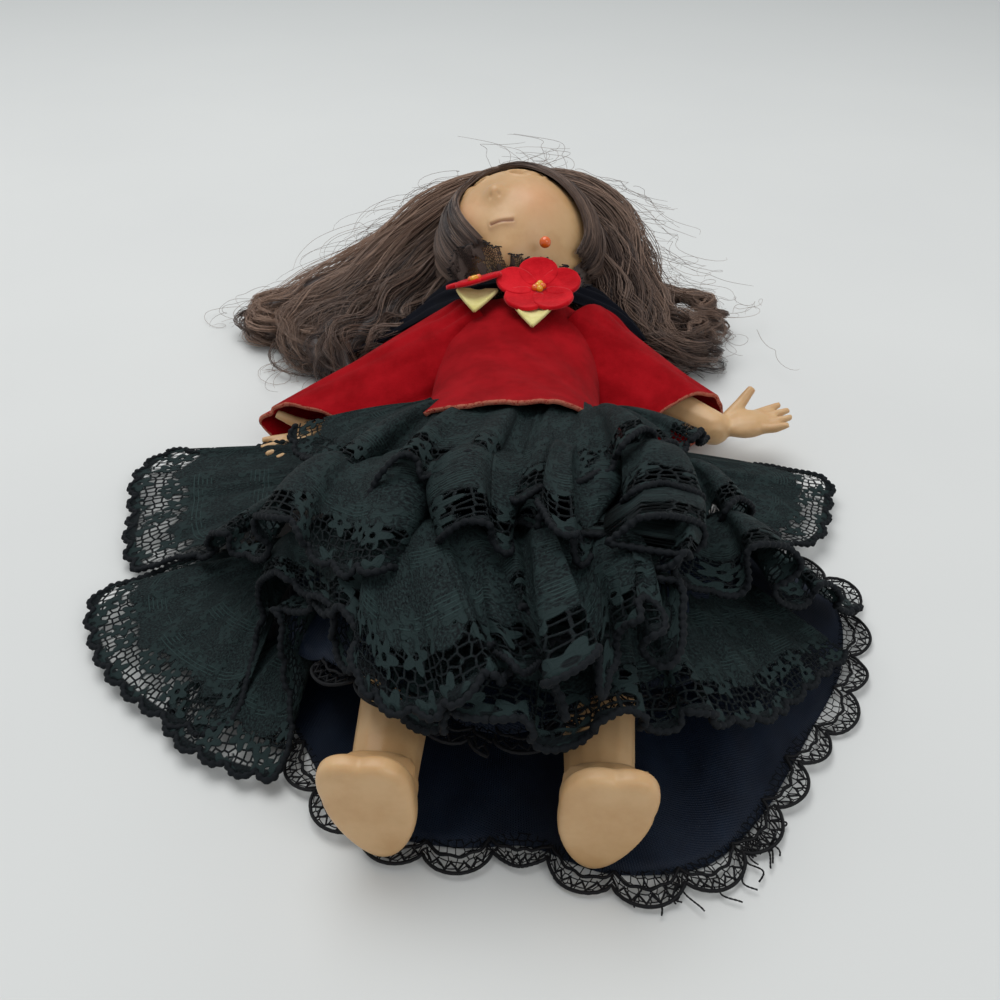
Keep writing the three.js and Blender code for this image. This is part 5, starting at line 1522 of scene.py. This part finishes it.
for side, groups in STRAYS.items():
    chance = np.random.default_rng(40 + len(side))
    lines, shades = [], []
    for start, reach, count in groups:
        for _ in range(count):
            begin = np.array(start, float) + chance.normal(0, (7, 2, 2), 3)
            begin[2] = max(begin[2], 0.5)
            lines.append(stray(begin, np.array(reach) * chance.uniform(0.5, 1.25), chance))
            shades.append(0.25 + 0.5 * chance.random())
    loose = strands(f"hair_{side}_stray", lines, shades, 0.06, 0.4)
    follow_head(loose, side)
    print("stray hairs", side, len(lines))

# %% [markdown]
# ## At the neck
# A slipped veil of dark satin lies round the neck and along both shoulders, and a gathered frill of net
# stands above it. Two felt flowers, each with its leaf and a knot of beads, hold the front. Their places
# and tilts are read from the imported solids.

# %% Veil
VEIL_SATIN = woven_material("veil_satin", srgb(4, 6, 14), srgb(10, 15, 28), 0.6, 0.35, 0.35, 0.08)
VEIL = [
    (-50, 47, 8), (-41, 50, 12), (-32, 52, 18), (-24, 52, 24), (-16, 49.5, 28), (-8, 47.5, 30.5),
    (1, 47, 31), (9, 47.5, 30), (16, 49, 27.5), (22, 50, 24), (27, 49, 20), (31, 46, 16),
]
VEIL_HALF = [1.5, 4.5, 6.5, 6.5, 4.5, 3.2, 3.0, 3.4, 4.5, 5.0, 4.0, 1.5]
VEIL_COLUMNS = 230
places, veil_length = even_places(VEIL, VEIL_COLUMNS)
middle_line = spline(VEIL, places)
half = np.interp(places * (len(VEIL) - 1), range(len(VEIL)), VEIL_HALF)
along = unit(np.gradient(middle_line, axis=0))
outward = unit(np.stack([
    middle_line[:, 0] * 0.2, np.full(VEIL_COLUMNS, 0.12), np.full(VEIL_COLUMNS, 1.0)], axis=1))
aside = unit(np.cross(outward, along))
rows = np.linspace(-1, 1, 34)
run = places * veil_length
grid = np.stack([
    middle_line + aside * (half * w)[:, None]
    + outward * (0.55 * np.sin(w * 9 + run * 0.07 + 1.5 * ripple(run * 0.06, 91)) - 1.6 * w * w)[:, None]
    for w in rows], axis=1)
grid[..., 2] = np.maximum(grid[..., 2], 0.4)
uv = np.stack([np.stack([run, half * w], axis=1) for w in rows], axis=1)
veil = cloth_from_grid("veil", grid, uv, VEIL_SATIN, 0.35)
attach(veil, "body")
print("veil", round(veil_length), "mm long")

# %% The veil's collar, close round the neck
COLLAR_COLUMNS, COLLAR_ROWS = 120, 14
collar_turn = np.linspace(0, 2 * math.pi, COLLAR_COLUMNS)
collar_rows = []
for v in np.linspace(0, 1, COLLAR_ROWS):
    wide = 7.4 + 4.6 * math.sin(math.pi * (0.15 + 0.7 * v)) + 0.35 * np.sin(7 * collar_turn + 5 * v)
    collar_rows.append(np.stack([
        wide * np.cos(collar_turn), 46.6 + 4.2 * v + 0.3 * np.sin(5 * collar_turn),
        BODY_Z + wide * np.sin(collar_turn)], axis=1))
grid = np.stack(collar_rows, axis=1)
uv = np.stack(np.meshgrid(collar_turn * 11, np.linspace(0, 6, COLLAR_ROWS), indexing="ij"), axis=-1)
collar = cloth_from_grid("veil_collar", grid, uv, VEIL_SATIN, 0.35)
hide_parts("shawl")
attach(collar, "body")

# %% Net frill
NET = lace_material("frill_net", srgb(66, 56, 52), srgb(92, 80, 74), dense_from=60.0, net_cell=0.85,
                    flower_size=9.0, thread=0.085)
FRILL_FROM, FRILL_TO = math.radians(-105), math.radians(80)
columns, rows = 520, 26
turn = np.linspace(FRILL_FROM, FRILL_TO, columns)
share = np.linspace(0, 1, columns)
puff = np.exp(-((turn + 0.7) / 0.4) ** 2)
grid = np.zeros((columns, rows, 3))
uv = np.zeros((columns, rows, 2))
for j in range(rows):
    v = j / (rows - 1)
    gather = np.sin(2 * math.pi * 13 * share + 1.6 * ripple(share * 7, 95))
    reach = 12.6 + (7.6 + 8.0 * puff) * math.sin(math.pi / 2 * v) + 0.5 * ripple(share * 30, 96) * v
    y = 47.4 + 6.0 * v ** 0.8 + (0.4 + 1.5 * v) * gather + 4.4 * puff * v
    grid[:, j] = np.stack([reach * np.sin(turn), y, BODY_Z + reach * np.cos(turn)], axis=1)
    uv[:, j] = np.stack([share * 130, np.full(columns, 14 * (1 - v) + 2.0)], axis=1)
frill = cloth_from_grid("neck_frill_net", grid, uv, NET, 0.12)
frill_edge = trim_line("neck_frill_loops", grid[:, -1], (0.3, 1.7, 0.75, 0.35, 0.0, 0.16),
                       thread_material("frill_cord", srgb(30, 28, 30), 0.7))
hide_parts("neck_frill")
for piece in (frill, frill_edge):
    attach(piece, "body")

# %% Flowers, leaves and beads
FLOWER_FELT = felt_material("flower_felt", srgb(170, 16, 28), srgb(212, 34, 44), 0.15)
LEAF_FELT = felt_material("leaf_felt", srgb(206, 196, 122), srgb(232, 224, 160), 0.15)


def bead_material(name, colour):
    """Glossy glass, a little uneven in colour."""
    material, tree, shader = new_material(name)
    cloud = clouds(tree, coordinates(tree), 900.0)
    dress(tree, shader, mix(tree, cloud, colour, shaded(colour, 0.75)),
          {"Roughness": 0.15, "Coat Weight": 0.5})
    return material


ORANGE_BEAD = bead_material("orange_bead", srgb(236, 104, 36))
YELLOW_BEAD = bead_material("yellow_bead", srgb(236, 168, 30))


def bead_piece(name, radius, middle, material, columns, rows):
    points = ball_directions(columns, rows) * radius + middle
    return mesh_piece(name, points.reshape(-1, 3), grid_faces(columns, rows), material)

# %% Where a flower lies
def node_plane(node, lean=(0, 0, 0)):
    """Middle, long axis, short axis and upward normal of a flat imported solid, leant over where asked."""
    points = node_points(node)
    middle = (points.max(axis=0) + points.min(axis=0)) / 2
    axes = np.linalg.svd(points - points.mean(axis=0), full_matrices=False)[2]
    normal = unit(axes[2] * (1 if axes[2][2] > 0 else -1) + np.array(lean, float))
    short = unit(np.cross(normal, axes[0]))
    return middle, np.cross(short, normal), short, normal

# %% Petals
PETAL_COLUMNS, PETAL_ROWS, ROUND_FROM_ROW = 25, 18, 11


def petal_grid(middle, u, v, normal, radius, turn, cup):
    """One felt petal, narrow at the middle, broad and round at its end, and cupped upwards."""
    grid = np.zeros((PETAL_COLUMNS, PETAL_ROWS, 3))
    ahead = u * math.cos(turn) + v * math.sin(turn)
    aside = -u * math.sin(turn) + v * math.cos(turn)
    w = np.linspace(-1, 1, PETAL_COLUMNS)
    for j in range(PETAL_ROWS):
        run = j / (PETAL_ROWS - 1)
        r = radius * (0.12 + 0.88 * run)
        width = radius * 0.47 * math.sin(math.pi * (0.13 + 0.72 * run)) ** 0.8
        if j > ROUND_FROM_ROW:
            width *= math.sqrt(max(1 - ((run - 0.62) / 0.40) ** 4, 0.03))
        height = 0.7 + cup * (r / radius) ** 2 + 0.9 * (w * width / radius) ** 2 * radius * 0.25
        grid[:, j] = middle + r * ahead + np.outer(w * width, aside) + np.outer(height, normal)
    return grid

# %% Make the flowers
# Each flower: radius, cup, spin, lean, how far it lies from its solid, and the tip of its leaf
FLOWERS = {
    "left": (10.6, 1.6, 0.35, (0, 0.15, 0), (0, -0.6, 0.2), (1.9, 22.4, 31.3)),
    "right": (7.6, 0.6, 0.1, (0, 0.4, 0.3), (-2.8, 0, 4.4), (-12.4, 29.2, 31.3)),
}
LEAF_LONG, LEAF_HALF = 11.0, 5.4
for side, (radius, cup, spin, lean, shift, tip) in FLOWERS.items():
    middle, u, v, normal = node_plane(f"flower_{side}_petals", lean)
    middle = middle + np.array(shift)
    grids = [petal_grid(middle, u, v, normal, radius, spin + 2 * math.pi * k / 5,
                        cup * (1 + 0.35 * math.sin(3.1 * k + spin))) for k in range(5)]
    count = PETAL_COLUMNS * PETAL_ROWS
    faces = [tuple(i + k * count for i in face) for k in range(5)
             for face in grid_faces(PETAL_COLUMNS, PETAL_ROWS)]
    uv = np.meshgrid(np.linspace(0, 8, PETAL_COLUMNS), np.linspace(3, 9, PETAL_ROWS), indexing="ij")
    uv = np.tile(np.stack(uv, axis=-1).reshape(-1, 2), (5, 1))
    petals = mesh_piece(f"flower_{side}_petals_felt", np.concatenate([g.reshape(-1, 3) for g in grids]),
                        faces, FLOWER_FELT, uv)
    thicken(petals, 0.9)
    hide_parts(f"flower_{side}_petals")
    knot = []
    for k, colour in enumerate((YELLOW_BEAD, ORANGE_BEAD, YELLOW_BEAD, ORANGE_BEAD, YELLOW_BEAD)):
        turn = k * 1.257
        at = middle + normal * 1.7 + (u * math.cos(turn) + v * math.sin(turn)) * (1.05 if k else 0.2)
        knot.append(bead_piece(f"flower_{side}_bead_{k + 1}", 0.85, at, colour, 33, 23))
    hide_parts(f"flower_{side}_centre")
    reach = np.linspace(0, 1, 40)
    wide = LEAF_HALF * (1 - reach ** 1.6) * np.minimum(1, 0.35 + 4 * reach) + 0.1
    arch = 0.3 + 0.9 * reach * (1 - reach)
    grid = np.array(tip) + np.stack([
        np.stack([w * wide, LEAF_LONG * (1 - reach), arch + 0.25 * w * w * wide], axis=1)
        for w in np.linspace(-1, 1, 17)], axis=1)
    uv = np.stack(np.meshgrid(reach * LEAF_LONG + 3, np.linspace(3, 9, 17), indexing="ij"), axis=-1)
    leaf = cloth_from_grid(f"flower_{side}_leaf_felt", grid, uv, LEAF_FELT, 0.8)
    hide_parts(f"flower_{side}_leaf")
    for piece in knot + [petals, leaf]:
        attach(piece, "body")
    across = round(2 * radius * MM, 4)

# %% The bead at the neck
bead_at = node_points("bead")
bead_middle = (bead_at.max(axis=0) + bead_at.min(axis=0)) / 2
bead = bead_piece("orange_neck_bead", 1.5, bead_middle, ORANGE_BEAD, 65, 45)
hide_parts("bead")
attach(bead, "body")

# %% [markdown]
# ## Inside
# The rod that joins the eyes and the weight that shuts them are metal, and the skirt is gathered into a band
# of its own satin. They are hardly seen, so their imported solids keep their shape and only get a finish.

# %% Hidden metal and the waistband
def metal_material(name, colour, roughness):
    """Plain metal, a little scratched."""
    material, tree, shader = new_material(name)
    rough = add_node(tree, "ShaderNodeMapRange", {
        "Value": clouds(tree, coordinates(tree), 1500.0, 3.0),
        "To Min": roughness * 0.7, "To Max": roughness * 1.3})
    tree.links.new(rough.outputs["Result"], shader.inputs["Roughness"])
    shader.inputs["Base Color"].default_value = colour
    shader.inputs["Metallic"].default_value = 1.0
    return material


FINISHES = {
    "eye_rod": metal_material("steel", srgb(188, 190, 194), 0.3),
    "eye_weight": metal_material("lead", srgb(110, 112, 118), 0.6),
    "waistband_front": SATIN,
    "waistband_back": SATIN,
}
for node, material in FINISHES.items():
    refinish(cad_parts[node], material)
